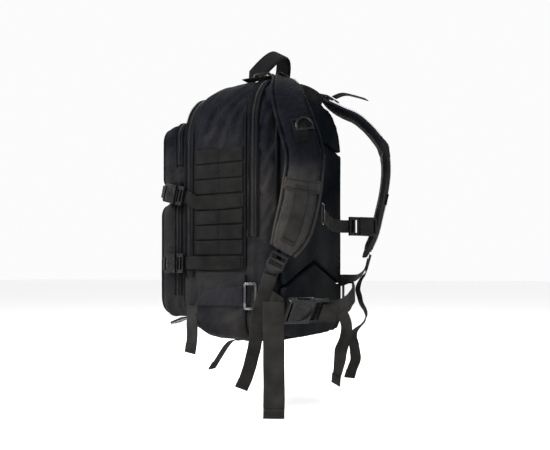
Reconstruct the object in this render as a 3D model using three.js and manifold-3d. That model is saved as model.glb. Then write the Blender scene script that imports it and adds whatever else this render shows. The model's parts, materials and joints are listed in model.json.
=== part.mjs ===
// Trauma backpack: a padded two-compartment pack with two front pockets, webbing panels,
// shoulder harness, waist belt and compression straps.
// Millimetres, +Z up, +X to the wearer's right, +Y towards the wearer.
// Pieces are placed in a bag frame with z = 0 under the bag, and one group moves that frame so that the
// origin is the centre of the flat back pad.
import * as THREE from 'three';
import { mergeVertices } from 'three/addons/utils/BufferGeometryUtils.js';
import Module from 'manifold-3d';

const wasm = await Module();
wasm.setup();

// ---- Driving dimensions ----
const HALF_WIDTH = 145;
const HEIGHT = 502;
const GAP = 0.4;
const MAIN_FRONT = -93;
const MAIN_REAR = 57;
const REAR_FRONT = MAIN_REAR + GAP;
const REAR_REAR = 118;
const SHEET_THICKNESS = 2;
const PAD_THICKNESS = 14.5;
const PAD_FRONT = REAR_REAR + SHEET_THICKNESS + 2 * GAP;
const BACK_FACE = PAD_FRONT + PAD_THICKNESS;
const BACK_CENTRE_Z = 260;
const POCKET_REAR = MAIN_FRONT - GAP;
const POCKET_FRONT = -160;

const WEB_25 = 25;
const WEB_38 = 38;
const WEB_THICKNESS = 1.6;
const ROW_PITCH = 29;
const ROW_HEIGHT = 27.5;

// Bag stations from front to rear: place along y, half width, lowest and highest point of the outline.
const MAIN_STATIONS = [
  { y: MAIN_FRONT, half: 122, low: 44, high: 452 },
  { y: -84, half: 134, low: 28, high: 470 },
  { y: -60, half: 139, low: 14, high: 489 },
  { y: -20, half: 141, low: 5, high: 500 },
  { y: MAIN_REAR, half: HALF_WIDTH, low: 0, high: HEIGHT },
];
const REAR_STATIONS = [
  { y: REAR_FRONT, half: HALF_WIDTH, low: 0, high: HEIGHT },
  { y: 88, half: HALF_WIDTH, low: 0, high: HEIGHT - 2 },
  { y: 105, half: 143, low: 3, high: HEIGHT - 10 },
  { y: REAR_REAR, half: 137, low: 8, high: 476 },
];
const BAG_CORNERS = { bottom: 42, topX: 88, topZ: 96 };

// ---- Materials ----
const COLOURS = {
  fabric: 0x17171b,
  webbing: 0x2c2a27,
  foam: 0x1b1b1f,
  plastic: 0x141414,
  metal: 0x3a3733,
  sheet: 0x2b2d30,
};

function material(kind) {
  const shiny = kind === 'plastic' || kind === 'metal';
  return new THREE.MeshStandardMaterial({
    name: kind,
    color: COLOURS[kind],
    roughness: shiny ? 0.4 : 0.85,
    metalness: kind === 'metal' ? 0.8 : 0,
  });
}

const bag = new THREE.Group();
bag.position.set(0, -BACK_FACE, -BACK_CENTRE_Z);

function add(name, kind, geometry, parent = bag) {
  const mesh = new THREE.Mesh(geometry, material(kind));
  mesh.name = name;
  parent.add(mesh);
  return mesh;
}

// A group whose x axis points along `along` and whose z axis is as near as can be to `up`.
function placedGroup(at, along, up) {
  const x = new THREE.Vector3(...along).normalize();
  const z = new THREE.Vector3(...up).addScaledVector(x, -x.dot(new THREE.Vector3(...up))).normalize();
  const y = new THREE.Vector3().crossVectors(z, x);
  const group = new THREE.Group();
  group.quaternion.setFromRotationMatrix(new THREE.Matrix4().makeBasis(x, y, z));
  group.position.set(...at);
  bag.add(group);
  return group;
}

// ---- Geometry helpers ----
function signedVolume(geometry) {
  const p = geometry.attributes.position;
  const index = geometry.index;
  const [a, b, c] = [new THREE.Vector3(), new THREE.Vector3(), new THREE.Vector3()];
  let volume = 0;
  for (let i = 0; i < index.count; i += 3) {
    a.fromBufferAttribute(p, index.getX(i));
    b.fromBufferAttribute(p, index.getX(i + 1));
    c.fromBufferAttribute(p, index.getX(i + 2));
    volume += a.dot(b.cross(c));
  }
  return volume;
}

// A closed skin over rings of equal point count, with flat convex ends, faces pointing out.
function loft(rings) {
  const count = rings[0].length;
  const last = (rings.length - 1) * count;
  const index = [];
  for (let start = 0; start < last; start += count) {
    for (let i = 0; i < count; i++) {
      const j = (i + 1) % count;
      index.push(start + i, start + j, start + j + count);
      index.push(start + i, start + j + count, start + i + count);
    }
  }
  for (let i = 1; i < count - 1; i++) {
    index.push(0, i + 1, i);
    index.push(last, last + i, last + i + 1);
  }
  const geometry = new THREE.BufferGeometry();
  const positions = rings.flat().flatMap((p) => p.toArray());
  geometry.setAttribute('position', new THREE.Float32BufferAttribute(positions, 3));
  geometry.setIndex(index);
  if (signedVolume(geometry) < 0) {
    geometry.setIndex(index.reverse());
  }
  return geometry;
}

// Quarter of an ellipse from angle 0 to 90 degrees, as unit steps.
function quarter(steps) {
  return Array.from({ length: steps + 1 }, (_, k) => (k / steps) * Math.PI / 2);
}

// Outline of an arched bag in the x-z plane, counter-clockwise from bottom centre, as [x, z] points.
function archOutline({ half, low, high }, { bottom, topX, topZ }) {
  const right = [[0, low]];
  for (const a of quarter(4)) {
    right.push([half - bottom + bottom * Math.sin(a), low + bottom - bottom * Math.cos(a)]);
  }
  for (const a of quarter(6)) {
    right.push([half - topX + topX * Math.cos(a), high - topZ + topZ * Math.sin(a)]);
  }
  const left = right.slice(1).reverse().map(([x, z]) => [-x, z]);
  return [...right, [0, high], ...left];
}

function stationAt(stations, y) {
  const k = Math.max(1, stations.findIndex((s) => s.y >= y));
  const [a, b] = [stations[k - 1], stations[k]];
  const t = (y - a.y) / (b.y - a.y);
  const mix = (name) => a[name] + t * (b[name] - a[name]);
  return { y, half: mix('half'), low: mix('low'), high: mix('high') };
}

function ringAt(station, corners) {
  return archOutline(station, corners).map(([x, z]) => new THREE.Vector3(x, station.y, z));
}

function bagSolid(stations, corners) {
  return loft(stations.map((station) => ringAt(station, corners)));
}

// Moves a closed outline outwards by `distance`, keeping each edge parallel.
function offsetOutline(outline, distance) {
  const count = outline.length;
  return outline.map(([x, z], i) => {
    const [px, pz] = outline[(i + count - 1) % count];
    const [nx, nz] = outline[(i + 1) % count];
    const before = new THREE.Vector2(z - pz, px - x).normalize();
    const after = new THREE.Vector2(nz - z, x - nx).normalize();
    const scale = distance / (1 + before.dot(after));
    return [x + (before.x + after.x) * scale, z + (before.y + after.y) * scale];
  });
}

// A tape that lies on the bag's skin from y0 to y1, over the arch and down both sides to height `foot`.
function archBand(stations, corners, y0, y1, foot, inner, outer) {
  const edge = (y, distance) => {
    const outline = offsetOutline(archOutline(stationAt(stations, y), corners), distance);
    const upper = outline.filter(([, z]) => z > foot + 20);
    const [first, last] = [upper[0], upper[upper.length - 1]];
    return [[first[0], foot], ...upper, [last[0], foot]].map(([x, z]) => new THREE.Vector3(x, y, z));
  };
  const corners4 = [edge(y0, inner), edge(y1, inner), edge(y1, outer), edge(y0, outer)];
  return loft(corners4[0].map((_, i) => corners4.map((line) => line[i])));
}

// The same route with further points between its own, so that a twist is spread over more faces.
function refined(route, parts) {
  const made = [route[0]];
  for (let i = 1; i < route.length; i++) {
    const [from, to] = [route[i - 1], route[i]];
    for (let k = 1; k <= parts; k++) {
      const between = (a, b) => a.map((value, n) => value + (b[n] - value) * (k / parts));
      made.push({ at: between(from.at, to.at), side: between(from.side, to.side) });
    }
  }
  return made;
}

// A strip swept through points, flat side vectors given at each one.
function ribbon(route, width, thickness, chamfer = 0) {
  const points = route.map(({ at }) => new THREE.Vector3(...at));
  const rings = points.map((p, i) => {
    const before = points[Math.max(0, i - 1)];
    const after = points[Math.min(points.length - 1, i + 1)];
    const tangent = new THREE.Vector3().subVectors(after, before).normalize();
    const side = new THREE.Vector3(...route[i].side);
    side.addScaledVector(tangent, -tangent.dot(side)).normalize();
    const normal = new THREE.Vector3().crossVectors(tangent, side);
    const w = (route[i].width ?? width) / 2;
    const t = thickness / 2;
    const c = chamfer;
    const plain = [[-w, -t], [w, -t], [w, t], [-w, t]];
    const bevelled = [
      [-w, t - c], [-w, c - t], [-w + c, -t], [w - c, -t],
      [w, c - t], [w, t - c], [w - c, t], [c - w, t],
    ];
    const section = c ? bevelled : plain;
    return section.map(([u, v]) => p.clone().addScaledVector(side, u).addScaledVector(normal, v));
  });
  return loft(rings);
}

function polygon(points) {
  return new THREE.Shape(points.map(([x, y]) => new THREE.Vector2(x, y)));
}

function rectangle(x0, y0, x1, y1) {
  return polygon([[x0, y0], [x1, y0], [x1, y1], [x0, y1]]);
}

// A rectangle with arcs of radius r at its corners.
function roundedRectangle(x0, y0, x1, y1, r) {
  const shape = new THREE.Shape();
  shape.moveTo(x0 + r, y0);
  shape.lineTo(x1 - r, y0);
  shape.absarc(x1 - r, y0 + r, r, -Math.PI / 2, 0, false);
  shape.lineTo(x1, y1 - r);
  shape.absarc(x1 - r, y1 - r, r, 0, Math.PI / 2, false);
  shape.lineTo(x0 + r, y1);
  shape.absarc(x0 + r, y1 - r, r, Math.PI / 2, Math.PI, false);
  shape.lineTo(x0, y0 + r);
  shape.absarc(x0 + r, y0 + r, r, Math.PI, 1.5 * Math.PI, false);
  return shape;
}

function weld(geometry) {
  geometry.deleteAttribute('normal');
  geometry.deleteAttribute('uv');
  return mergeVertices(geometry, 1e-4);
}

// A flat plate of the given outline, from z = 0 to z = depth.
function plate(shape, depth, holes = []) {
  shape.holes.push(...holes);
  return weld(new THREE.ExtrudeGeometry(shape, { depth, bevelEnabled: false, curveSegments: 4 }));
}

// A plate drawn in x and z, with its thickness along +y from y0.
function uprightPlate(shape, y0, depth) {
  return plate(shape, depth).rotateX(Math.PI / 2).translate(0, y0 + depth, 0);
}

function toSolid(geometry) {
  const clean = weld(geometry.clone());
  return new wasm.Manifold(new wasm.Mesh({
    numProp: 3,
    vertProperties: new Float32Array(clean.attributes.position.array),
    triVerts: new Uint32Array(clean.index.array),
  }));
}

function fromSolid(solid) {
  const mesh = solid.getMesh();
  const geometry = new THREE.BufferGeometry();
  geometry.setAttribute('position', new THREE.Float32BufferAttribute(mesh.vertProperties, 3));
  geometry.setIndex(Array.from(mesh.triVerts));
  return geometry;
}

function box(x0, y0, z0, x1, y1, z1) {
  const geometry = new THREE.BoxGeometry(x1 - x0, y1 - y0, z1 - z0);
  return weld(geometry.translate((x0 + x1) / 2, (y0 + y1) / 2, (z0 + z1) / 2));
}

function join(geometry, others) {
  return fromSolid(others.reduce((solid, other) => solid.add(toSolid(other)), toSolid(geometry)));
}

function cut(geometry, cutters) {
  return fromSolid(cutters.reduce((solid, cutter) => solid.subtract(toSolid(cutter)), toSolid(geometry)));
}

// ---- Bag body ----
function addBody() {
  add('main_compartment', 'fabric', bagSolid(MAIN_STATIONS, BAG_CORNERS));
  add('rear_compartment', 'fabric', bagSolid(REAR_STATIONS, BAG_CORNERS));
  const sheet = roundedRectangle(-122, 22, 122, 468, 40);
  add('frame_sheet', 'sheet', uprightPlate(sheet, REAR_REAR + GAP, SHEET_THICKNESS));
}

// The three foam pads of the back panel, parted by two chevron seams.
const PAD_HALF = 137;
const SEAM = 3;
const LUMBAR_EDGE = { side: 103, middle: 150 };
const YOKE_EDGE = { side: 384, middle: 396 };

function addBackPads() {
  const lumbar = new THREE.Shape();
  lumbar.moveTo(-PAD_HALF + 36, 8);
  lumbar.lineTo(PAD_HALF - 36, 8);
  lumbar.absarc(PAD_HALF - 36, 44, 36, -Math.PI / 2, 0, false);
  lumbar.lineTo(PAD_HALF, LUMBAR_EDGE.side);
  lumbar.lineTo(0, LUMBAR_EDGE.middle);
  lumbar.lineTo(-PAD_HALF, LUMBAR_EDGE.side);
  lumbar.absarc(-PAD_HALF + 36, 44, 36, Math.PI, 1.5 * Math.PI, false);
  add('lumbar_pad', 'foam', uprightPlate(lumbar, PAD_FRONT, PAD_THICKNESS));

  const middle = polygon([
    [-PAD_HALF, LUMBAR_EDGE.side + SEAM],
    [0, LUMBAR_EDGE.middle + SEAM],
    [PAD_HALF, LUMBAR_EDGE.side + SEAM],
    [PAD_HALF, YOKE_EDGE.side],
    [0, YOKE_EDGE.middle],
    [-PAD_HALF, YOKE_EDGE.side],
  ]);
  add('back_pad', 'foam', uprightPlate(middle, PAD_FRONT, PAD_THICKNESS));

  const top = archOutline({ half: PAD_HALF, low: 0, high: 470 }, BAG_CORNERS).filter(([, z]) => z > 392);
  const yoke = polygon([
    [0, YOKE_EDGE.middle + SEAM],
    [PAD_HALF, YOKE_EDGE.side + SEAM],
    ...top,
    [-PAD_HALF, YOKE_EDGE.side + SEAM],
  ]);
  add('upper_back_pad', 'foam', uprightPlate(yoke, PAD_FRONT, PAD_THICKNESS));
}

// ---- Front pockets ----
const UPPER_POCKET = { half: 112, low: 302, high: 432 };
const LOWER_POCKET = { half: 118, low: 44, high: 274 };

function addPocket(name, { half, low, high }, corners) {
  const stations = [
    { y: POCKET_FRONT, half: half - 12, low: low + 8, high: high - 10 },
    { y: POCKET_FRONT + 10, half: half - 3, low: low + 1, high: high - 4 },
    { y: POCKET_FRONT + 24, half, low, high },
    { y: POCKET_REAR, half, low, high },
  ];
  add(name, 'fabric', bagSolid(stations, corners));
}

// Rows of webbing on a backing, drawn as a stepped profile from z = low and swept along the rows.
function webbingRows(low, rows, length) {
  const backing = 0.9;
  const raised = backing + WEB_THICKNESS;
  const profile = [[0, low]];
  for (let k = 0; k < rows; k++) {
    const foot = low + k * ROW_PITCH;
    profile.push([raised, foot], [raised, foot + ROW_HEIGHT]);
    if (k + 1 < rows) {
      profile.push([backing, foot + ROW_HEIGHT], [backing, foot + ROW_PITCH]);
    }
  }
  profile.push([0, low + (rows - 1) * ROW_PITCH + ROW_HEIGHT]);
  return plate(polygon(profile), length).rotateX(Math.PI / 2).translate(0, length, 0);
}

function addPockets() {
  addPocket('upper_pocket', UPPER_POCKET, { bottom: 12, topX: 34, topZ: 30 });
  addPocket('lower_pocket', LOWER_POCKET, { bottom: 32, topX: 24, topZ: 22 });
  const rows = [
    ['upper_pocket_webbing', 318, 2, 172],
    ['lower_pocket_webbing', 92, 5, 184],
  ];
  for (const [name, low, count, length] of rows) {
    const mesh = add(name, 'webbing', webbingRows(low, count, length));
    mesh.rotation.z = -Math.PI / 2;
    mesh.position.set(-length / 2, POCKET_FRONT - GAP, 0);
  }
}

// ---- Side webbing panels with the ends of the compression straps ----
const PANEL_FRONT = -58;
const PANEL_LENGTH = 111;
const PANEL_LOW = 134;
const PANEL_ROWS = 8;
const PANEL_SLOPE = Math.atan2(HALF_WIDTH - 139, MAIN_REAR + 60);

function mirrored(geometry) {
  geometry.scale(-1, 1, 1);
  geometry.setIndex(Array.from(geometry.index.array).reverse());
  return geometry;
}

// The strap row's free end: off the panel, over the zip and flat behind the tongue of its buckle.
function compressionStrap(rowZ, { front, rear }) {
  const start = stationAt(MAIN_STATIONS, PANEL_FRONT).half;
  const axis = buckleFrame(front, rear, [1, 0, 0]);
  const route = [
    { at: [start + 2.1, PANEL_FRONT + 9, rowZ], side: [0, 0, 1] },
    { at: [start + 1.9, PANEL_FRONT + 1, rowZ], side: [0, 0, 1] },
    { at: [start + 4.6, PANEL_FRONT - 5, rowZ], side: [0, 0, 1] },
    axis.strap(64, BEHIND_TONGUE),
    axis.strap(46, BEHIND_TONGUE),
  ];
  return ribbon(route, WEB_25, WEB_THICKNESS);
}

function addSideWebbing(side, name) {
  const start = stationAt(MAIN_STATIONS, PANEL_FRONT).half + 1.5 * GAP;
  const rows = webbingRows(PANEL_LOW, PANEL_ROWS, PANEL_LENGTH);
  rows.rotateZ(-PANEL_SLOPE).translate(start, PANEL_FRONT, 0);
  const panel = join(rows, SIDE_BUCKLES.map((buckle) => compressionStrap(buckle.rowZ, buckle)));
  add(name, 'webbing', side < 0 ? mirrored(panel) : panel);
}

// ---- Zips: tapes on the skin, sliders that run along their straight stretches ----
const REAR_ZIP_Y = 74;
const MAIN_ZIP_Y = -72;
const TAPE_HALF = 11;
const TAPE_INNER = 0.6;
const TAPE_OUTER = 2;

function sliderGeometry() {
  const body = polygon([[-7, -3], [-4, -5], [4, -4], [7, -4], [7, 4], [4, 4], [-4, 5], [-7, 3]]);
  return plate(body, 3.4, [rectangle(-5.4, -1.2, -2.4, 1.2)]);
}

function addZips() {
  const tape = (stations, y, foot) => archBand(
    stations, BAG_CORNERS, y - TAPE_HALF, y + TAPE_HALF, foot, TAPE_INNER, TAPE_OUTER,
  );
  add('rear_zip', 'webbing', tape(REAR_STATIONS, REAR_ZIP_Y, 195));
  add('main_zip', 'webbing', tape(MAIN_STATIONS, MAIN_ZIP_Y, 120));
  const rise = TAPE_OUTER + 0.6;
  const rearTop = stationAt(REAR_STATIONS, REAR_ZIP_Y).high + rise + 0.5;
  addSlider('rear_zip_slider_right', [4, REAR_ZIP_Y, rearTop], [-1, 0, 0], [0, 0, 1]);
  addSlider('rear_zip_slider_left', [-16, REAR_ZIP_Y, rearTop], [1, 0, 0], [0, 0, 1]);
  const mainSide = -(stationAt(MAIN_STATIONS, MAIN_ZIP_Y).half + rise + 0.8);
  addSlider('main_zip_slider_upper', [mainSide, MAIN_ZIP_Y, 318], [0, 0, -1], [-1, 0, 0]);
  addSlider('main_zip_slider_lower', [mainSide, MAIN_ZIP_Y, 238], [0, 0, 1], [-1, 0, 0]);
  addSlider('upper_pocket_slider', [-(UPPER_POCKET.half + 1.5), -112, 375], [0, 0, -1], [-1, 0, 0]);
  addSlider('lower_pocket_slider', [-(LOWER_POCKET.half + 1.5), -112, 225], [0, 0, -1], [-1, 0, 0]);
}

function addSlider(name, at, along, up) {
  add(name, 'metal', sliderGeometry(), placedGroup(at, along, up));
}

// ---- Buckles ----
// Tri-bar ladder lock for 25 mm webbing: x along the strap from its hinge bar, y across,
// tab at the far end.
function ladderLock() {
  const outline = new THREE.Shape();
  outline.moveTo(-2.5, -16);
  outline.lineTo(26, -16);
  outline.lineTo(29, -13);
  outline.absarc(27, 0, 9, -0.9, 0.9, false);
  outline.lineTo(29, 13);
  outline.lineTo(26, 16);
  outline.lineTo(-2.5, 16);
  const slots = [rectangle(2.5, -13, 10, 13), rectangle(14.5, -12.6, 22, 12.6)];
  return plate(outline, 4, slots).translate(0, 0, -2);
}

const socketLength = (web) => web * 1.15 + 8;
const tongueReach = (web) => web * 0.95 - 6;
const tongueBack = (web) => web * 0.55 + 8;
const TONGUE_THICKNESS = 6;
const BEHIND_TONGUE = -(TONGUE_THICKNESS / 2 + WEB_THICKNESS / 2 + 3 * GAP);

// Socket half of a side-release buckle: open towards +x, webbing slot at the back.
function buckleSocket(web) {
  const half = web / 2 + 6;
  const length = socketLength(web);
  const body = plate(polygon([
    [0, -half + 3], [3, -half], [length, -half], [length, half], [3, half], [0, half - 3],
  ]), 12).translate(0, 0, -6);
  const mouth = box(11, -half + 3, -3.6, length + 1, half - 3, 3.6);
  const slot = box(3.5, -web / 2 - 0.5, -7, 7.5, web / 2 + 0.5, 7);
  const windows = [-1, 1].map((side) => box(16, side * half - 4, -2.6, length - 9, side * half + 4, 2.6));
  return cut(body, [mouth, slot, ...windows]);
}

// Tongue half: two side arms and a guide that slip into the socket, and a two-slot ladder behind them.
function buckleTongue(web) {
  const half = web / 2 + 6;
  const arm = half - 4.6;
  const reach = tongueReach(web);
  const back = tongueBack(web);
  const outline = polygon([
    [0, -half], [back, -half], [back, half], [0, half],
    [0, arm], [5 - reach, arm], [-reach, arm - 3], [-reach, arm - 6], [-3, arm - 5],
    [-3, 3], [4 - reach, 3], [4 - reach, -3], [-3, -3],
    [-3, 5 - arm], [-reach, 6 - arm], [-reach, 3 - arm], [5 - reach, -arm], [0, -arm],
  ]);
  const slots = [
    rectangle(3, -web / 2, back / 2 - 2, web / 2),
    rectangle(back / 2 + 2, 0.4 - web / 2, back - 3, web / 2 - 0.4),
  ];
  return plate(outline, TONGUE_THICKNESS, slots).translate(0, 0, -TONGUE_THICKNESS / 2);
}

// A buckle's line from the back of its socket to the back of its tongue.
// point(s, n) is s along it and n outwards.
function buckleFrame(front, rear, up) {
  const start = new THREE.Vector3(...front);
  const along = new THREE.Vector3(...rear).sub(start).normalize();
  const out = new THREE.Vector3(...up);
  out.addScaledVector(along, -along.dot(out)).normalize();
  const across = new THREE.Vector3().crossVectors(along, out);
  const point = (s, n) => start.clone().addScaledVector(along, s).addScaledVector(out, n).toArray();
  const strap = (s, n) => ({ at: point(s, n), side: across.toArray() });
  return { along: along.toArray(), out: out.toArray(), point, strap };
}

function addBuckle(prefix, web, { front, rear, up }) {
  const { along, out, point } = buckleFrame(front, rear, up);
  add(`${prefix}_socket`, 'plastic', buckleSocket(web), placedGroup(front, along, out));
  const tongueStart = point(socketLength(web) + GAP, 0);
  add(`${prefix}_tongue`, 'plastic', buckleTongue(web), placedGroup(tongueStart, along, out));
}

// Compression buckles: socket in front beside the pockets, tongue behind it on the strap
// of one webbing row.
const SIDE_BUCKLES = [
  { name: 'upper', rowZ: 263.75, front: [126, -136, 290], rear: [147, -76, 276] },
  { name: 'lower', rowZ: 147.75, front: [126, -136, 148], rear: [147, -76, 148] },
];

function addSideBuckles() {
  for (const [side, word] of [[1, 'right'], [-1, 'left']]) {
    const flip = ([x, y, z]) => [side * x, y, z];
    for (const { name, front, rear } of SIDE_BUCKLES) {
      const line = { front: flip(front), rear: flip(rear), up: [side, 0, 0] };
      addBuckle(`${name}_buckle_${word}`, WEB_25, line);
    }
  }
}

// ---- Carry handle ----
const HANDLE = { half: 62, y: 20, z: HEIGHT + 3, foot: 2, rise: 76, lean: 30, thickness: 5, hinge: 6 };

// An arch of webbing whose two feet narrow to the hinge line sewn into the bag's top seam.
function addHandle() {
  const group = placedGroup([0, HANDLE.y, HANDLE.z], [1, 0, 0], [0, 0, 1]);
  group.rotateX(THREE.MathUtils.degToRad(-HANDLE.lean));
  const steps = 18;
  const route = Array.from({ length: steps + 1 }, (_, k) => {
    const across = Math.cos((k / steps) * Math.PI);
    const x = HANDLE.half * across;
    const z = HANDLE.foot + (HANDLE.rise - HANDLE.foot) * (1 - Math.abs(across) ** 1.9);
    const width = Math.min(WEB_38, HANDLE.hinge + 1.7 * (z - HANDLE.foot));
    return { at: [x, 0, z], side: [0, 1, 0], width };
  });
  add('carry_handle', 'webbing', ribbon(route, WEB_38, HANDLE.thickness), group);
}

// ---- Shoulder harness ----
// The right strap hangs turned outwards, the left one bows away from the back.
const PAD_WIDTH = 72;
const SHOULDER_PAD_THICKNESS = 14;
const RIGHT_PAD = [
  { at: [80, 104, 498], side: [-0.92, 0.38, 0], width: 54 },
  { at: [91, 116, 486], side: [-0.85, 0.5, 0], width: 60 },
  { at: [112, 127, 463], side: [-0.8, 0.6, 0], width: 68 },
  { at: [128, 142, 432], side: [-0.7, 0.71, 0] },
  { at: [133, 157, 393], side: [-0.62, 0.78, 0] },
  { at: [130, 170, 343], side: [-0.56, 0.83, 0] },
  { at: [137, 169, 290], side: [-0.5, 0.866, 0] },
  { at: [146, 164, 240], side: [-0.5, 0.866, 0] },
  { at: [157, 155, 195], side: [-0.5, 0.866, 0], width: 62 },
  { at: [168, 143, 165], side: [-0.5, 0.866, 0], width: 36 },
];
const LEFT_PAD = [
  { at: [-75, 117, 487], side: [-0.98, -0.18, 0], width: 54 },
  { at: [-77, 130, 478], side: [-0.96, -0.27, 0], width: 60 },
  { at: [-79, 146, 468], side: [-0.95, -0.32, 0], width: 68 },
  { at: [-80, 166, 457], side: [-0.94, -0.35, 0] },
  { at: [-81, 191, 444], side: [-0.93, -0.37, 0] },
  { at: [-85, 210, 426], side: [-0.92, -0.39, 0] },
  { at: [-89, 230, 402], side: [-0.91, -0.41, 0] },
  { at: [-92, 245, 373], side: [-0.91, -0.41, 0] },
  { at: [-95, 248, 340], side: [-0.91, -0.41, 0] },
  { at: [-98, 243, 298], side: [-0.91, -0.41, 0] },
  { at: [-101, 231, 250], side: [-0.91, -0.41, 0] },
  { at: [-104, 217, 202], side: [-0.91, -0.41, 0], width: 62 },
  { at: [-109, 195, 165], side: [-0.91, -0.41, 0], width: 36 },
];

// Ladder locks at the ends of the pads: hinge bar, a point further down the strap, and the outer side.
const RIGHT_LOCK = buckleFrame([170, 141, 160], [181.5, 128.4, 128.3], [0.76, 0.44, 0.1]);
const LEFT_LOCK = buckleFrame([-104, 212, 166], [-106, 201, 131], [-0.35, 0.85, -0.3]);
const LOCK_LENGTH = 36;
const UNDER_LOCK = -3.6;

// Lower straps from under the ladder locks to the bag's bottom corners.
const RIGHT_LOWER = refined([
  RIGHT_LOCK.strap(8, UNDER_LOCK),
  RIGHT_LOCK.strap(34, UNDER_LOCK),
  { at: [164, 112, 114], side: [-0.4, 0.9, 0] },
  { at: [151.4, 99.4, 103.5], side: [-0.2, 0.98, 0] },
  { at: [147.2, 97, 90], side: [0, 1, 0] },
  { at: [147.2, 95, 70], side: [0, 1, 0] },
], 2);
const LEFT_LOWER = [
  LEFT_LOCK.strap(8, UNDER_LOCK),
  LEFT_LOCK.strap(34, UNDER_LOCK),
  { at: [-117, 180, 121], side: [-0.8, -0.5, 0.1] },
  { at: [-134, 156, 116], side: [-0.5, 0.1, 0.6] },
  { at: [-142.5, 138, 114], side: [-0.1, 0.4, 0.9] },
  { at: [-142.5, 125, 113], side: [0, 0.1, 1] },
];
// Free webbing ends that hang from the locks.
const RIGHT_TAIL = [
  RIGHT_LOCK.strap(LOCK_LENGTH + 4, 1),
  { at: [180, 119, 104], side: [-0.5, 0.866, 0] },
  { at: [174, 107, 82], side: [-0.5, 0.866, 0] },
  { at: [169, 97, 58], side: [-0.5, 0.866, 0] },
  { at: [166, 91, 28], side: [-0.55, 0.83, 0] },
  { at: [164, 86, -4], side: [-0.62, 0.78, 0] },
  { at: [163, 75, -42], side: [-0.66, 0.75, 0] },
  { at: [163, 64, -70], side: [-0.62, 0.78, 0] },
  { at: [164, 58, -83], side: [-0.6, 0.8, 0] },
];
const LEFT_TAIL = [
  LEFT_LOCK.strap(LOCK_LENGTH + 4, 1),
  { at: [-110, 188, 112], side: [-0.8, -0.6, 0] },
  { at: [-110, 182, 92], side: [-0.7, -0.7, 0] },
  { at: [-111, 188, 70], side: [-0.7, -0.7, 0] },
  { at: [-111, 202, 42], side: [-0.85, -0.5, 0] },
  { at: [-114, 190, 24], side: [-1, -0.1, 0] },
  { at: [-119, 170, 4], side: [-0.95, 0.3, 0] },
  { at: [-121, 170, -24], side: [-0.8, 0.6, 0] },
  { at: [-121, 173, -54], side: [-0.7, 0.7, 0] },
  { at: [-124, 162, -82], side: [-0.7, 0.7, 0] },
  { at: [-125, 158, -94], side: [-0.7, 0.7, 0] },
];

// D-rings on the pads' outer faces: middle of the straight bar, a point up the pad, and the outer side.
const RIGHT_D_RING = buckleFrame([136.2, 173.6, 386], [134.8, 166.4, 414], [0.78, 0.62, 0.25]);
const LEFT_D_RING = buckleFrame([-95.8, 252.1, 379.3], [-93.3, 240.1, 406.3], [-0.38, 0.84, 0.39]);

function dRing() {
  const wire = 3.5;
  const half = 17;
  const shape = new THREE.Shape();
  shape.moveTo(-wire / 2, -half);
  shape.lineTo(6, -half);
  shape.absarc(6, 0, half, -Math.PI / 2, Math.PI / 2, false);
  shape.lineTo(-wire / 2, half);
  const hole = new THREE.Path();
  hole.moveTo(wire / 2, wire - half);
  hole.lineTo(6, wire - half);
  hole.absarc(6, 0, half - wire, -Math.PI / 2, Math.PI / 2, false);
  hole.lineTo(wire / 2, half - wire);
  return plate(shape, wire, [hole]).translate(0, 0, -wire / 2);
}

function addHarness() {
  for (const [word, pad, lower, tail, lock, ring] of [
    ['right', RIGHT_PAD, RIGHT_LOWER, RIGHT_TAIL, RIGHT_LOCK, RIGHT_D_RING],
    ['left', LEFT_PAD, LEFT_LOWER, LEFT_TAIL, LEFT_LOCK, LEFT_D_RING],
  ]) {
    add(`shoulder_pad_${word}`, 'foam', ribbon(pad, PAD_WIDTH, SHOULDER_PAD_THICKNESS, 3));
    add(`lower_strap_${word}`, 'webbing', ribbon(lower, WEB_25, WEB_THICKNESS));
    add(`shoulder_tail_${word}`, 'webbing', ribbon(tail, WEB_25, WEB_THICKNESS));
    const lockPlace = placedGroup(lock.point(0, 0), lock.along, lock.out);
    add(`ladder_lock_${word}`, 'plastic', ladderLock(), lockPlace);
    add(`d_ring_${word}`, 'metal', dRing(), placedGroup(ring.point(0, 0), ring.along, ring.out));
  }
}

// ---- Load lifters: short straps from the top of the bag to the pads, each through a ladder lock ----
const LIFTER_X = 82;
const RIGHT_LIFTER_LOCK = buckleFrame([80, 76, 508.6], [LIFTER_X, 40, 508], [0, 0, 1]);
const LEFT_LIFTER_LOCK = buckleFrame([-78.5, 131, 495.5], [-79, 98, 505.5], [0, 0.29, 0.96]);
const RIGHT_LIFTER = [
  { at: [LIFTER_X, 20, 503.5], side: [-1, 0, 0] },
  RIGHT_LIFTER_LOCK.strap(30, UNDER_LOCK),
  RIGHT_LIFTER_LOCK.strap(2, UNDER_LOCK - 1),
  { at: [79, 92, 504.2], side: [-1, 0, 0] },
];
const LEFT_LIFTER = [
  { at: [-LIFTER_X, 34, 504], side: [-1, 0, 0] },
  { at: [-LIFTER_X, 78, 504.5], side: [-1, 0, 0] },
  LEFT_LIFTER_LOCK.strap(28, UNDER_LOCK),
  LEFT_LIFTER_LOCK.strap(4, UNDER_LOCK),
];

function addLifters() {
  for (const [word, route, lock] of [
    ['right', RIGHT_LIFTER, RIGHT_LIFTER_LOCK],
    ['left', LEFT_LIFTER, LEFT_LIFTER_LOCK],
  ]) {
    add(`load_lifter_${word}`, 'webbing', ribbon(route, WEB_25, WEB_THICKNESS));
    const lockPlace = placedGroup(lock.point(0, 0), lock.along, lock.out);
    add(`lifter_lock_${word}`, 'plastic', ladderLock(), lockPlace);
  }
}

// ---- Sternum strap ----
const STERNUM = { front: [-64, 236.5, 221], rear: [-20, 197.5, 221], up: [0.66, 0.75, 0] };

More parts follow.
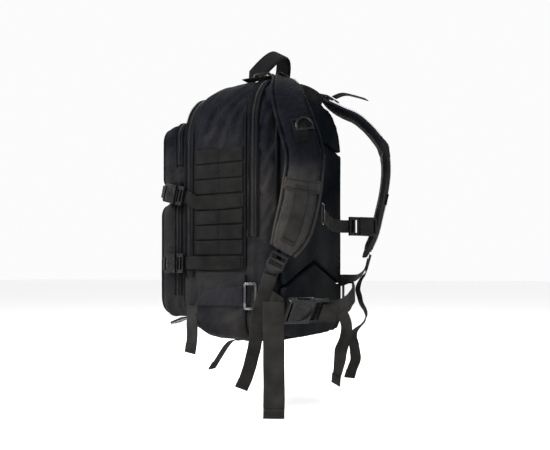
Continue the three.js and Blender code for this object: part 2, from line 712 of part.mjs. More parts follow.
function addSternum() {
  const axis = buckleFrame(STERNUM.front, STERNUM.rear, STERNUM.up);
  const route = [
    { at: [122, 198, 235], side: [0, 0, 1] },
    { at: [98, 192, 234], side: [0, 0, 1] },
    { at: [60, 183, 230], side: [0, 0, 1] },
    { at: [34, 177, 226], side: [0, 0, 1] },
    axis.strap(84, BEHIND_TONGUE),
    axis.strap(48, BEHIND_TONGUE),
  ];
  addBuckle('sternum', WEB_25, STERNUM);
  add('sternum_strap', 'webbing', ribbon(route, WEB_25, WEB_THICKNESS));
}

// ---- Waist belt: wings on the sides, a rectangular ring on each, belt webbing and its free ends ----
const BELT_Z = 86;
const RING = { length: 27, height: 50, wire: 4.4 };
const WAIST = { front: [163, 148, 62], rear: [96.6, 194.4, 60], up: [0.49, 0.69, -0.53] };
const BELT_RIGHT = [
  { at: [156, 90, BELT_Z], side: [0, 0, 1] },
  { at: [160, 107, 82], side: [0, 0, 1] },
  { at: [163, 125, 75], side: [0.1, 0.1, 1] },
  { at: [165, 139, 67], side: [0.28, 0.45, 0.85] },
];
const BELT_TAIL_RIGHT = [
  { at: [178.5, 132, 78], side: [-0.454, 0.891, 0] },
  { at: [177.5, 131, 60], side: [-0.454, 0.891, 0] },
  { at: [173, 129, 36], side: [-0.454, 0.891, 0] },
  { at: [172, 129, 4], side: [-0.454, 0.891, 0] },
  { at: [174, 130, -28], side: [-0.454, 0.891, 0] },
  { at: [171, 129, -60], side: [-0.454, 0.891, 0] },
  { at: [171, 129, -100], side: [-0.454, 0.891, 0] },
  { at: [170, 128, -130], side: [-0.48, 0.88, 0.05] },
];
const BELT_TAIL_LEFT = [
  { at: [85, 214.6, 54.8], side: [0.29, 0.45, 0.85] },
  { at: [74, 222.6, 44.8], side: [0.6, 0.7, 0.3] },
  { at: [66, 224, 28], side: [0.6, 0.8, 0] },
  { at: [62, 221, 6], side: [0.6, 0.8, 0] },
  { at: [64, 213, -16], side: [0.5, 0.86, 0] },
  { at: [65, 210, -40], side: [0.6, 0.8, 0] },
  { at: [65, 206, -62], side: [0.7, 0.7, 0] },
  { at: [65, 204, -78], side: [0.7, 0.7, 0] },
];

function beltRing() {
  const { length, height, wire } = RING;
  const outer = roundedRectangle(0, -height / 2, length, height / 2, 4);
  const inner = rectangle(wire, wire - height / 2, length - wire, height / 2 - wire);
  return plate(outer, wire, [inner]).translate(0, 0, -wire / 2);
}

function addWaist() {
  const axis = buckleFrame(WAIST.front, WAIST.rear, WAIST.up);
  const left = [
    axis.strap(60, BEHIND_TONGUE),
    axis.strap(96, BEHIND_TONGUE),
    { at: [20, 201, 66], side: [0.1, 0.2, 1] },
    { at: [-40, 190, 72], side: [0, 0, 1] },
    { at: [-100, 174, 80], side: [0, 0, 1] },
    { at: [-141, 164, BELT_Z], side: [0, 0, 1] },
  ];
  addBuckle('waist', WEB_38, WAIST);
  add('waist_belt_right', 'webbing', ribbon(BELT_RIGHT, WEB_38, WEB_THICKNESS));
  add('waist_belt_left', 'webbing', ribbon(left, WEB_38, WEB_THICKNESS));
  add('belt_tail_right', 'webbing', ribbon(BELT_TAIL_RIGHT, WEB_38, WEB_THICKNESS));
  add('belt_tail_left', 'webbing', ribbon(BELT_TAIL_LEFT, WEB_38, WEB_THICKNESS));
  const wing = plate(polygon([[-58, 65], [55, 65], [55, 107], [-30, 99]]), 5);
  wing.rotateX(Math.PI / 2).rotateZ(Math.PI / 2);
  wing.translate(HALF_WIDTH + GAP, 0, 0);
  add('hip_wing_right', 'foam', wing);
  const leftWing = [-58, 0, 60, 108, 130].map((y) => (
    { at: [-(HALF_WIDTH + 3 + GAP), y, BELT_Z], side: [0, 0, 1] }
  ));
  leftWing[0].width = 30;
  add('hip_wing_left', 'foam', ribbon(leftWing, 42, 5));
  add('belt_ring_right', 'metal', beltRing(), placedGroup([152, 57.5, BELT_Z], [0, 1, 0], [1, 0, 0]));
  add('belt_ring_left', 'metal', beltRing(), placedGroup([-149, 132.5, BELT_Z], [0, 1, 0], [-1, 0, 0]));
}

// ---- Lash straps and ladder locks under the bag ----
const BOTTOM_LOCK = { x: 80, y: -122, z: 37 };

function addBottom() {
  const corner = [
    [141.6, -62, 66], [141.6, -63, 50], [138.5, -66, 28], [132, -70, 8], [130, -73, -10], [130, -76, -28],
  ].map((at) => ({ at, side: [0, 1, 0] }));
  const under = [
    [88, 16, -1.6], [88, -6, -3], [88, -18, -14], [88, -34, -36], [88, -52, -62],
  ].map((at) => ({ at, side: [1, 0, 0] }));
  add('corner_lash_strap', 'webbing', ribbon(corner, WEB_25, WEB_THICKNESS));
  add('bottom_lash_strap', 'webbing', ribbon(under, WEB_25, WEB_THICKNESS));
  for (const [sign, word] of [[1, 'right'], [-1, 'left']]) {
    const at = [sign * BOTTOM_LOCK.x, BOTTOM_LOCK.y, BOTTOM_LOCK.z];
    const lockPlace = placedGroup(at, [0, -0.93, -0.36], [0, -0.36, 0.93]);
    add(`bottom_lock_${word}`, 'plastic', ladderLock(), lockPlace);
  }
}

addBody();
addBackPads();
addPockets();
addSideWebbing(1, 'side_webbing_right');
addSideWebbing(-1, 'side_webbing_left');
addZips();
addSideBuckles();
addHandle();
addHarness();
addLifters();
addSternum();
addWaist();
addBottom();

const group = new THREE.Group();
group.add(bag);
export default group;
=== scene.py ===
"""The trauma backpack's looks: stuffed shell, padding, webbing, zips and buckles round the CAD frame."""
import json
import math
import bmesh
import bpy
import numpy as np
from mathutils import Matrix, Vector, noise

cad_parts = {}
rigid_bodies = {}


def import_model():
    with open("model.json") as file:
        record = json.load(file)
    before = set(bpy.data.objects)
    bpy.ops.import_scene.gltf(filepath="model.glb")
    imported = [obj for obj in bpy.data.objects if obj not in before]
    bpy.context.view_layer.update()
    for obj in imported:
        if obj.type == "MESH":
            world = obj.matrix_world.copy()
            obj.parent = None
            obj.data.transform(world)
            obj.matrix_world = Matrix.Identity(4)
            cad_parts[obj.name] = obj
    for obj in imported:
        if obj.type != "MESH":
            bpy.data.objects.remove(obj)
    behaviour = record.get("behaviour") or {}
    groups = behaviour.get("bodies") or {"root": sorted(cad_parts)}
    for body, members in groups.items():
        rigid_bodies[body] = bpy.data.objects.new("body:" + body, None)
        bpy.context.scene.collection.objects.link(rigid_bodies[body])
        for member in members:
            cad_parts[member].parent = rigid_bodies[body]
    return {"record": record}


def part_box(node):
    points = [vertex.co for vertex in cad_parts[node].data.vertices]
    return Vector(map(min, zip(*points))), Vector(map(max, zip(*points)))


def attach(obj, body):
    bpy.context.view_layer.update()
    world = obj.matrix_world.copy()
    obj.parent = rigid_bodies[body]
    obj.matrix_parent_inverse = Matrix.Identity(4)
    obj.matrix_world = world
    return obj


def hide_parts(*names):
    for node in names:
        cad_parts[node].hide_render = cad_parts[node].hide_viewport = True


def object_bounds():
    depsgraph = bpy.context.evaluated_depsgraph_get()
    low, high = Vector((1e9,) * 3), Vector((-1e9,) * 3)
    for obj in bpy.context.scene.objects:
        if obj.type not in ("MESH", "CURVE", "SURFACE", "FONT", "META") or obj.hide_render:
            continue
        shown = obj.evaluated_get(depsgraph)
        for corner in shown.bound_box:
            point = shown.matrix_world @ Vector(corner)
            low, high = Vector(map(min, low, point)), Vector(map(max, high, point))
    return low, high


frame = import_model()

cad_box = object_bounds()
scene = bpy.context.scene
rng = np.random.default_rng(7)

# ---- Frame: the bag's own millimetres, up from the middle of its base, to the row frame in metres ----
MM = 0.001
BACK_FACE = 135.3
BACK_CENTRE_Z = 260.0


def bag(points):
    return (np.asarray(points, float) - (0, BACK_FACE, BACK_CENTRE_Z)) * MM


def unit(v):
    return v / np.maximum(np.linalg.norm(v, axis=-1, keepdims=True), 1e-12)


# ---- Camera ----
AZIMUTH = math.radians(117)
FORWARD = Vector((-math.sin(AZIMUTH), math.cos(AZIMUTH), 0))
CAMERA_AT = (1274, 693, 125)
SENSOR_WIDTH, FRAME_WIDTH = 36, 550
FOCAL_SHARE, RISE_SHARE = 700 / FRAME_WIDTH, 50 / FRAME_WIDTH
camera = bpy.data.objects.new("camera", bpy.data.cameras.new("camera"))
scene.collection.objects.link(camera)
camera.location = bag(CAMERA_AT)
camera.rotation_mode = "QUATERNION"
camera.rotation_quaternion = FORWARD.to_track_quat("-Z", "Y")
camera.data.sensor_width = SENSOR_WIDTH
camera.data.lens = SENSOR_WIDTH * FOCAL_SHARE
camera.data.shift_y = RISE_SHARE
scene.camera = camera


# ---- Node helpers ----
class Nodes:
    """A material's node tree, with short calls for the nodes used here."""

    def __init__(self, name):
        self.material = bpy.data.materials.new(name)
        self.material.use_nodes = True
        self.tree = self.material.node_tree
        self.shader = self.tree.nodes["Principled BSDF"]
        coords = self.tree.nodes.new("ShaderNodeTexCoord")
        self.object, self.uv = coords.outputs["Object"], coords.outputs["UV"]

    def node(self, kind, inputs=(), **settings):
        made = self.tree.nodes.new("ShaderNode" + kind)
        for key, value in settings.items():
            setattr(made, key, value)
        for key, value in dict(inputs).items():
            if isinstance(value, bpy.types.NodeSocket):
                self.tree.links.new(value, made.inputs[key])
            else:
                made.inputs[key].default_value = value
        return made

    def math(self, operation, a, b=0.0):
        return self.node("Math", {0: a, 1: b}, operation=operation).outputs[0]

    def noise(self, scale, detail=2.0, roughness=0.5):
        inputs = {"Vector": self.object, "Scale": scale, "Detail": detail, "Roughness": roughness}
        return self.node("TexNoise", inputs).outputs["Fac"]

    def ramp(self, value, stops):
        made = self.node("ValToRGB", {"Fac": value})
        elements = made.color_ramp.elements
        while len(elements) < len(stops):
            elements.new(0.5)
        for element, (place, colour) in zip(elements, stops):
            element.position = place
            element.color = (*colour, 1)
        return made.outputs["Color"]

    def split(self, vector):
        return self.node("SeparateXYZ", {0: vector}).outputs

    def bump(self, height, strength, distance, after=None):
        inputs = {"Height": height, "Strength": strength, "Distance": distance}
        if after is not None:
            inputs["Normal"] = after
        return self.node("Bump", inputs).outputs["Normal"]

    def set(self, **values):
        for key, value in values.items():
            socket = self.shader.inputs[key.replace("_", " ")]
            if isinstance(value, bpy.types.NodeSocket):
                self.tree.links.new(value, socket)
            else:
                socket.default_value = value


def triplanar_weave(m, pitch):
    """Over and under threads on whichever of the three planes the surface faces, 0 to 1."""
    k = 2 * math.pi / pitch
    x, y, z = (m.math("SINE", m.math("MULTIPLY", c, k)) for c in m.split(m.object))
    normal = m.node("NewGeometry").outputs["True Normal"]
    nx, ny, nz = (m.math("POWER", m.math("ABSOLUTE", c), 4.0) for c in m.split(normal))
    total = m.math("ADD", m.math("ADD", nx, ny), m.math("ADD", nz, 1e-4))
    mixed = m.math(
        "ADD",
        m.math("MULTIPLY", nx, m.math("MULTIPLY", y, z)),
        m.math(
            "ADD",
            m.math("MULTIPLY", ny, m.math("MULTIPLY", x, z)),
            m.math("MULTIPLY", nz, m.math("MULTIPLY", x, y)),
        ),
    )
    return m.math("MULTIPLY_ADD", m.math("DIVIDE", mixed, total), 0.5)


def cloth_material(name, dark, middle, light, roughness, pitch=0.0011, weave=0.25, specular=0.012,
                   sheen=0.003, fall=-0.5):
    """Packcloth: fine plain weave, mottling and rubbed patches, and painted light by height: paler lower down
    by fall a metre.
    """
    m = Nodes(name)
    patches = m.noise(9.0, 4.0)
    fibre = m.noise(900.0, 2.0)
    # Painted light: the tone grows by fall a metre lower down, so the cloth is paler low on the bag and
    # darker high up.
    lower = m.math("MULTIPLY", m.split(m.object)[2], fall)
    tone = m.math("ADD", m.math("MULTIPLY", patches, 0.85), m.math("MULTIPLY", fibre, 0.15))
    m.set(Base_Color=m.ramp(m.math("ADD", tone, lower), [(0.34, dark), (0.5, middle), (0.72, light)]))
    m.set(Roughness=m.math("ADD", roughness - 0.06, m.math("MULTIPLY", patches, 0.14)))
    woven = m.bump(triplanar_weave(m, pitch), weave, 0.0002)
    puckers = m.bump(m.noise(150.0, 3.0), 0.5, 0.0011, woven)
    m.set(Normal=m.bump(m.noise(26.0, 4.0, roughness=0.62), 0.9, 0.0085, puckers))
    m.set(Specular_IOR_Level=specular, Sheen_Weight=sheen, Sheen_Roughness=0.4)
    return m.material


def webbing_material(name, dark, light, pitch=0.0016):
    """Nylon webbing: zigzag ribs across it, fine cords along it, paler where rubbed, with painted shade in
    the grooves between ribs and cords. UV is in metres.
    """
    m = Nodes(name)
    u, v, _ = m.split(m.uv)
    lean = m.math("MULTIPLY", m.math("PINGPONG", v, 0.0032), 0.55)
    ribs = m.math("SINE", m.math("MULTIPLY", m.math("ADD", u, lean), 2 * math.pi / pitch))
    cords = m.math("SINE", m.math("MULTIPLY", v, 2 * math.pi / 0.0016))
    height = m.math("ADD", m.math("MULTIPLY", ribs, 0.6), m.math("MULTIPLY", cords, 0.4))
    wear = m.noise(38.0, 4.0)
    # Painted shade: the rib and cord height darkens the colour in the grooves between them, added to the real
    # rubbed wear.
    wear_and_groove_shade = m.math("ADD", m.math("MULTIPLY", wear, 0.45), m.math("MULTIPLY", height, 0.16))
    m.set(Base_Color=m.ramp(wear_and_groove_shade, [(0.05, dark), (0.48, light)]))
    m.set(Roughness=m.math("ADD", 0.62, m.math("MULTIPLY", wear, 0.15)))
    m.set(Normal=m.bump(height, 0.5, 0.00035), Specular_IOR_Level=0.02)
    m.set(Sheen_Weight=0.004, Sheen_Roughness=0.4)
    return m.material


def plastic_material(name, colour, roughness):
    """Moulded acetal: satin black with fine grain and paler scuffed patches."""
    m = Nodes(name)
    grain, scuff = m.noise(1600.0, 1.0), m.noise(45.0, 3.0)
    worn = tuple(c * 1.6 + 0.003 for c in colour)
    m.set(Base_Color=m.ramp(scuff, [(0.45, colour), (0.8, worn)]))
    m.set(Roughness=m.math("ADD", roughness - 0.06, m.math("MULTIPLY", scuff, 0.12)))
    m.set(Normal=m.bump(grain, 0.12, 0.0002), Specular_IOR_Level=0.14)
    return m.material


def metal_material(name, colour, worn, roughness):
    """Black coated steel, rubbed through to a warm bright metal in places."""
    m = Nodes(name)
    rub = m.noise(60.0, 3.0)
    m.set(Base_Color=m.ramp(rub, [(0.5, colour), (0.8, worn)]))
    m.set(Roughness=m.math("ADD", roughness, m.math("MULTIPLY", rub, 0.2)), Metallic=0.85)
    m.set(Normal=m.bump(m.noise(500.0), 0.08, 0.0003))
    return m.material


MATERIALS = {
    "fabric": cloth_material(
        "packcloth", (0.0024, 0.003, 0.0046), (0.0078, 0.008, 0.0094), (0.0172, 0.016, 0.015), 0.6,
        fall=-0.3),
    "lining": cloth_material(
        "back_cloth", (0.0034, 0.0044, 0.006), (0.0072, 0.0084, 0.010), (0.0165, 0.017, 0.0176), 0.7,
        pitch=0.0019, weave=0.45, specular=0.0, sheen=0.0),
    "foam": cloth_material(
        "strap_cloth", (0.0036, 0.0041, 0.0062), (0.0155, 0.0152, 0.0158), (0.040, 0.0365, 0.0315), 0.62),
    "wing": cloth_material(
        "wing_cloth", (0.004, 0.0044, 0.006), (0.0082, 0.0084, 0.0104), (0.0135, 0.0134, 0.015), 0.62),
    "thread": cloth_material(
        "thread", (0.008, 0.008, 0.009), (0.013, 0.013, 0.0135), (0.021, 0.0205, 0.02), 0.55, pitch=0.0005),
    "webbing": webbing_material("webbing", (0.0066, 0.0064, 0.0064), (0.0275, 0.0266, 0.0246)),
    "panel": webbing_material("panel_webbing", (0.0026, 0.0026, 0.0026), (0.0125, 0.0122, 0.0117)),
    "binding": webbing_material("binding", (0.0024, 0.0026, 0.003), (0.0088, 0.009, 0.0094), pitch=0.0013),
    "plastic": plastic_material("acetal", (0.0032, 0.0032, 0.0036), 0.27),
    "zip": plastic_material("zip_coil", (0.0045, 0.0046, 0.0054), 0.4),
    "metal": metal_material("coated_steel", (0.05, 0.052, 0.057), (0.3, 0.3, 0.32), 0.22),
    "ring": metal_material("d_ring_steel", (0.012, 0.0125, 0.0135), (0.11, 0.095, 0.075), 0.2),
    "sheet": plastic_material("stiffener", (0.02, 0.02, 0.02), 0.5),
}


# ---- Mesh helpers ----
def make(name, verts, faces, kind, body="bag", uvs=None, stands_for=()):
    """A new piece of that kind of material, riding on body, in place of the CAD nodes it stands for."""
    mesh = bpy.data.meshes.new(name)
    mesh.from_pydata(np.asarray(verts, float).tolist(), [], [tuple(int(i) for i in f) for f in faces])
    if uvs is not None:
        layer = mesh.uv_layers.new(name="UVMap")
        index = np.zeros(len(mesh.loops), np.int32)
        mesh.loops.foreach_get("vertex_index", index)
        layer.data.foreach_set("uv", np.asarray(uvs, float)[index].ravel())
    mesh.polygons.foreach_set("use_smooth", [True] * len(mesh.polygons))
    mesh.materials.append(MATERIALS[kind])
    mesh.update()
    made = bpy.data.objects.new(name, mesh)
    scene.collection.objects.link(made)
    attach(made, body)
    if stands_for:
        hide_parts(*stands_for)
    return made


def distance_along(points):
    """Distance from the first point to each point, along the line through them."""
    return np.concatenate([[0], np.cumsum(np.linalg.norm(np.diff(points, axis=0), axis=1))])


def tube_faces(rings, around):
    """Quads between successive closed rings of `around` points, and a face on each end."""
    i = np.arange(rings - 1)[:, None] * around
    j = np.arange(around)[None, :]
    k = (j + 1) % around
    quads = np.stack([i + j, i + k, i + around + k, i + around + j], -1).reshape(-1, 4)
    return [*quads.tolist(), list(range(around))[::-1], [(rings - 1) * around + n for n in range(around)]]


def outward(made):
    """Turns the mesh's faces to point outwards."""
    shape = bmesh.new()
    shape.from_mesh(made.data)
    bmesh.ops.recalc_face_normals(shape, faces=shape.faces)
    shape.to_mesh(made.data)
    shape.free()
    return made


def sampled(keys, step):
    """A smooth curve through the rows of keys (x, y, z and anything else), with a row about every step."""
    keys = np.asarray(keys, float)
    knots = distance_along(keys[:, :3])
    slopes = np.gradient(keys, knots, axis=0)
    at = np.linspace(0, knots[-1], max(3, int(round(knots[-1] / step)) + 1))
    k = np.clip(np.searchsorted(knots, at, side="right") - 1, 0, len(knots) - 2)
    h = np.diff(knots)[k][:, None]
    t = (at[:, None] - knots[k][:, None]) / h
    a, b = 2 * t**3 - 3 * t**2 + 1, t**3 - 2 * t**2 + t
    c, d = 3 * t**2 - 2 * t**3, t**3 - t**2
    return a * keys[k] + b * h * slopes[k] + c * keys[k + 1] + d * h * slopes[k + 1]


class Strip:
    """A strap's line: rows of (x, y, z, side x, side y, side z, width) in bag millimetres, smoothed."""

    def __init__(self, keys, step=4.0, smooth=True):
        rows = sampled(keys, step) if smooth else np.asarray(keys, float)
        for _ in range(3 if smooth and len(rows) > 8 else 0):
            rows[1:-1] = (rows[:-2] + 2 * rows[1:-1] + rows[2:]) / 4
        self.at = bag(rows[:, :3])
        self.tangent = unit(np.gradient(self.at, axis=0))
        side = rows[:, 3:6]
        side = side - self.tangent * np.sum(side * self.tangent, 1, keepdims=True)
        self.side = unit(side)
        self.out = unit(np.cross(self.tangent, self.side))
        self.width = rows[:, 6] * MM
        self.s = distance_along(self.at)
        self.length = self.s[-1]

    def frame(self, s):
        """Place, tangent, side and out vectors at each distance s along the strip."""
        s = np.atleast_1d(s)
        mix = lambda rows: np.stack([np.interp(s, self.s, rows[:, i]) for i in range(3)], -1)
        return mix(self.at), unit(mix(self.tangent)), unit(mix(self.side)), unit(mix(self.out))

    def points(self, s, across, out):
        """Points at distances s, offset across the strip and out from its face."""
        at, _, side, normal = self.frame(s)
        return at + side * np.reshape(across, (-1, 1)) + normal * np.reshape(out, (-1, 1))

    def part(self, start, end, width, lift, step=0.004):
        """Another strip along part of this one, lift above its line."""
        s = np.linspace(start, end, max(3, int((end - start) / step)))
        made = object.__new__(Strip)
        at, made.tangent, made.side, made.out = self.frame(s)
        made.at = at + made.out * np.reshape(lift, (-1, 1))
        made.width = np.full(len(s), width)
        made.s = distance_along(made.at)
        made.length = made.s[-1]
        return made


def flat_section(half, thick):
    """A webbing's section: flat faces and rounded edges, as (across, out) pairs round it."""
    a = np.array([-1, -0.94, -0.7, -0.35, 0, 0.35, 0.7, 0.94, 1])
    top = np.array([0.3, 0.92, 1, 1, 1, 1, 1, 0.92, 0.3])
    upper = np.stack([a * half, top * thick / 2], -1)
    lower = np.stack([a[::-1] * half, -top * thick / 2], -1)
    return np.concatenate([upper, lower])


def pad_section(half, thick):
    """A padded strap's section: crowned faces that pinch in to a thin edge."""
    a = np.concatenate([[-1, -0.97], np.linspace(-0.9, 0.9, 13), [0.97, 1]])
    top = thick / 2 * (0.2 + 0.8 * (1 - np.abs(a) ** 5) ** 0.5)
    return np.concatenate([np.stack([a * half, top], -1), np.stack([a[::-1] * half, -top[::-1]], -1)])


def extrude(name, strip, section, kind, **options):
    """A closed body along a strip. section(k, half) gives the (across, out) pairs at row k."""
    rings, uvs = [], []
    for k in range(len(strip.at)):
        pairs = section(k, strip.width[k] / 2)
        offsets = np.outer(pairs[:, 0], strip.side[k]) + np.outer(pairs[:, 1], strip.out[k])
        rings.append(strip.at[k] + offsets)
        uvs.append(np.stack([np.full(len(pairs), strip.s[k]), pairs[:, 0]], -1))
    return outward(make(name, np.concatenate(rings), tube_faces(len(rings), len(rings[0])), kind,
                        uvs=np.concatenate(uvs), **options))


def webbing(name, strip, thick=1.6, kind="webbing", **options):
    """Flat webbing along a strip, thick millimetres through."""
    return extrude(name, strip, lambda k, half: flat_section(half, thick * MM), kind, **options)


def tube(name, points, radius, kind, around=8, **options):
    """A round cord through points, in metres."""
    points = np.asarray(points, float)
    tangent = unit(np.gradient(points, axis=0))
    side = unit(np.cross(tangent, [0.31, 0.22, 0.92]))
    other = np.cross(tangent, side)
    turn = np.linspace(0, 2 * math.pi, around, endpoint=False)
    ring = np.cos(turn)[:, None] * side[:, None] + np.sin(turn)[:, None] * other[:, None]
    verts = (points[:, None] + radius * ring).reshape(-1, 3)
    along = distance_along(points)
    uvs = np.stack(np.broadcast_arrays(along[:, None], turn[None] * radius), -1).reshape(-1, 2)
    return outward(make(name, verts, tube_faces(len(points), around), kind, uvs=uvs, **options))


# ---- Stitching: every stitch is a small raised thread, gathered into one mesh a body ----
STITCHES = {}
STITCH_POINTS = 10
STITCH_FACES = [
    (0, 1, 2), (0, 2, 3), (0, 3, 8), (0, 8, 1), (1, 4, 5, 2), (2, 5, 6, 3), (3, 6, 9, 8), (8, 9, 4, 1),
    (7, 5, 4), (7, 6, 5), (7, 9, 6), (7, 4, 9),
]


def stitch(starts, ends, normals, body="bag", radius=0.00042):
    """One thread from each start to each end, standing up from a surface with those normals."""
    starts, ends, normals = (np.asarray(x, float).reshape(-1, 3) for x in (starts, ends, normals))
    across = unit(np.cross(ends - starts, normals)) * radius
    lift = unit(normals) * radius * 1.4
    quarter, far = starts + (ends - starts) * 0.22, starts + (ends - starts) * 0.78
    verts = np.stack([
        starts, quarter + across, quarter + lift, quarter - across, far + across, far + lift, far - across,
        ends, quarter - lift * 0.5, far - lift * 0.5,
    ], 1)
    STITCHES.setdefault(body, []).append(verts.reshape(-1, 3))


def stitch_line(points, normals, body="bag", pitch=0.0044, thread=0.0029):
    """A running row of stitches along a line of points."""
    points, normals = np.asarray(points, float), np.asarray(normals, float)
    along = distance_along(points)
    starts = np.arange(0, along[-1] - thread, pitch)
    pick = lambda s, rows: np.stack([np.interp(s, along, rows[:, i]) for i in range(3)], -1)
    if len(starts):
        stitch(pick(starts, points), pick(starts + thread, points), pick(starts, normals), body)


def facing(strip, s, direction):
    """1 or -1: which side of the strip faces direction at distance s."""
    return 1.0 if strip.frame(np.array([s]))[3][0] @ np.asarray(direction, float) > 0 else -1.0


def strip_stitches(strip, across, out):
    """A row of stitches down the strip, across metres to the side and out metres off its line."""
    s = np.arange(0.0, strip.length, 0.003)
    normal = strip.frame(s)[3]
    stitch_line(strip.points(s, np.full(len(s), across), np.full(len(s), out)), normal * np.sign(out))


def bartack(strip, s, half, out, rows=5):
    """A dense bar of thread across a strap at distance s."""
    for step in range(rows):
        place = s + (step - rows / 2) * 0.0007
        ends = strip.points(np.array([place, place]), np.array([-half, half]), np.array([out, out]))
        cuts = np.linspace(0, 1, max(3, int(half * 2 / 0.004)))[:, None]
        line = ends[0] * (1 - cuts) + ends[1] * cuts
        normal = np.repeat(strip.frame(np.array([place]))[3] * np.sign(out), len(line) - 1, 0)
        stitch(line[:-1], line[1:], normal)


def sew_all():
    """Makes one mesh of all the stitches on each body."""
    for body, groups in STITCHES.items():
        verts = np.concatenate(groups)
        base = np.arange(0, len(verts), STITCH_POINTS)
        faces = [tuple(b + i for i in f) for b in base for f in STITCH_FACES]
        make(f"stitching_{body}", verts, faces, "thread", body)


# ---- Bag shell: arch-shaped rings from front to back, puffed between the seams and creased ----
# Each station is (y, half width, lowest z, highest z).
MAIN_STATIONS = [
    (-93, 122, 44, 452), (-84, 134, 28, 470), (-60, 139, 14, 489), (-20, 141, 5, 500), (57, 145, 0, 502),
]
REAR_STATIONS = [(57.4, 145, 0, 502), (88, 145, 0, 500), (105, 143, 3, 492), (118, 137, 8, 476)]
BAG_CORNERS = (42, 88, 96)
SEAM_Y, REAR_ZIP_Y, MAIN_ZIP_Y = 57, 74, -72
PANEL = {"front": -58, "back": 53, "low": 134, "high": 364.5}


def station(stations, y):
    """Half width, lowest and highest z of the arch at y."""
    rows = np.array(stations, float)
    return [np.interp(y, rows[:, 0], rows[:, k]) for k in (1, 2, 3)]


def arch_outline(half, low, high, corners, count):
    """(x, z) points evenly round the arch, from the middle of the base towards +x and over the top."""
    bottom, top_x, top_z = corners
    a = np.linspace(0, math.pi / 2, 18)
    right = np.concatenate([
        [[0, low]],
        np.stack([half - bottom + bottom * np.sin(a), low + bottom - bottom * np.cos(a)], -1),
        np.stack([half - top_x + top_x * np.cos(a), high - top_z + top_z * np.sin(a)], -1),
        [[0, high]],
    ])
    full = np.concatenate([right, right[-2:0:-1] * (-1, 1), right[:1]])
    along = distance_along(full)
    at = np.linspace(0, along[-1], count, endpoint=False)
    return np.stack([np.interp(at, along, full[:, i]) for i in (0, 1)], -1)


def arch_rings(stations, corners, ys, around):
    """A ring of points round the arch at each y."""
    rings = []
    for y in ys:
        outline = arch_outline(*station(stations, y), corners, around)
        rings.append(np.stack([outline[:, 0], np.full(around, y), outline[:, 1]], -1))
    return np.array(rings)


def ring_normals(rings):
    """Outward directions across each ring, in the x-z plane."""
    run = np.roll(rings, -1, axis=1) - np.roll(rings, 1, axis=1)
    return unit(np.stack([run[..., 2], np.zeros(run.shape[:2]), -run[..., 0]], -1))


def step_up(value, low, high):
    """0 below low, 1 above high, and smooth between."""
    t = np.clip((value - low) / (high - low), 0, 1)
    return t * t * (3 - 2 * t)


def crease(y, z, line, width, depth):
    """A valley along a line of (y, z) points with a low ridge on its upper side."""
    line = np.array(line, float)
    best = np.full(y.shape, 1e9)
    sign = np.ones(y.shape)
    for a, b in zip(line[:-1], line[1:]):
        run = b - a
        t = np.clip(((y - a[0]) * run[0] + (z - a[1]) * run[1]) / (run @ run), 0, 1)
        dy, dz = y - a[0] - t * run[0], z - a[1] - t * run[1]
        gap = np.hypot(dy, dz)
        closer = gap < best
        best = np.where(closer, gap, best)
        sign = np.where(closer, np.sign(run[0] * dz - run[1] * dy), sign)
    offset = best * sign
    ridge = 0.7 * np.exp(-((offset - 1.7 * width) / (1.3 * width)) ** 2)
    return depth * (ridge - np.exp(-(offset / width) ** 2))


def perlin(points, seed):
    """Smooth noise at each point, about -1 to 1."""
    return np.array([noise.noise(Vector(p) + Vector((seed, 0, 0))) for p in points])


# Creases of the rear gusset, the right side and the left side, each as its (y, z) line, width and depth.
CREASE_DEPTH = 1.45
REAR_CREASES = [
    ([(88, 462), (104, 436), (97, 402)], 5, 2.6),
    ([(92, 396), (113, 376), (101, 342)], 5, 2.4),
    ([(87, 352), (105, 322), (94, 288)], 5, 2.4),
    ([(90, 276), (111, 252), (95, 216)], 5, 2.2),
    ([(66, 190), (96, 176), (116, 140)], 6, 2.6),
    ([(62, 120), (84, 96), (112, 88)], 6, 2.4),
    ([(60, 60), (88, 44), (114, 52)], 6, 2.2),
]
RIGHT_CREASES = [
    ([(44, 478), (8, 450), (-14, 425), (-26, 395)], 7, 3.4),
    ([(50, 462), (24, 430), (4, 396), (-4, 372)], 6, 2.6),
    ([(52, 440), (40, 410), (34, 374)], 5, 1.8),
    ([(-44, 470), (-52, 430), (-54, 380)], 5, 1.8),
    ([(-20, 488), (-36, 452), (-42, 410)], 6, 2.0),
    ([(8, 392), (16, 408), (26, 384)], 5, 1.6),
    ([(48, 126), (10, 112), (-30, 118)], 6, 2.0),
    ([(40, 60), (0, 44), (-50, 56)], 7, 2.6),
    ([(-60, 128), (-50, 90), (-56, 60)], 5, 1.8),
    ([(30, 30), (-10, 22), (-44, 34)], 6, 1.8),
] + REAR_CREASES
LEFT_CREASES = REAR_CREASES + [
    ([(48, 470), (16, 446), (-12, 402)], 7, 3.0),
    ([(50, 430), (30, 404), (22, 372)], 6, 2.2),
    ([(-30, 480), (-46, 436), (-50, 384)], 6, 2.2),
    ([(44, 122), (2, 108), (-40, 116)], 6, 2.0),
    ([(36, 54), (-8, 42), (-52, 54)], 7, 2.4),
]


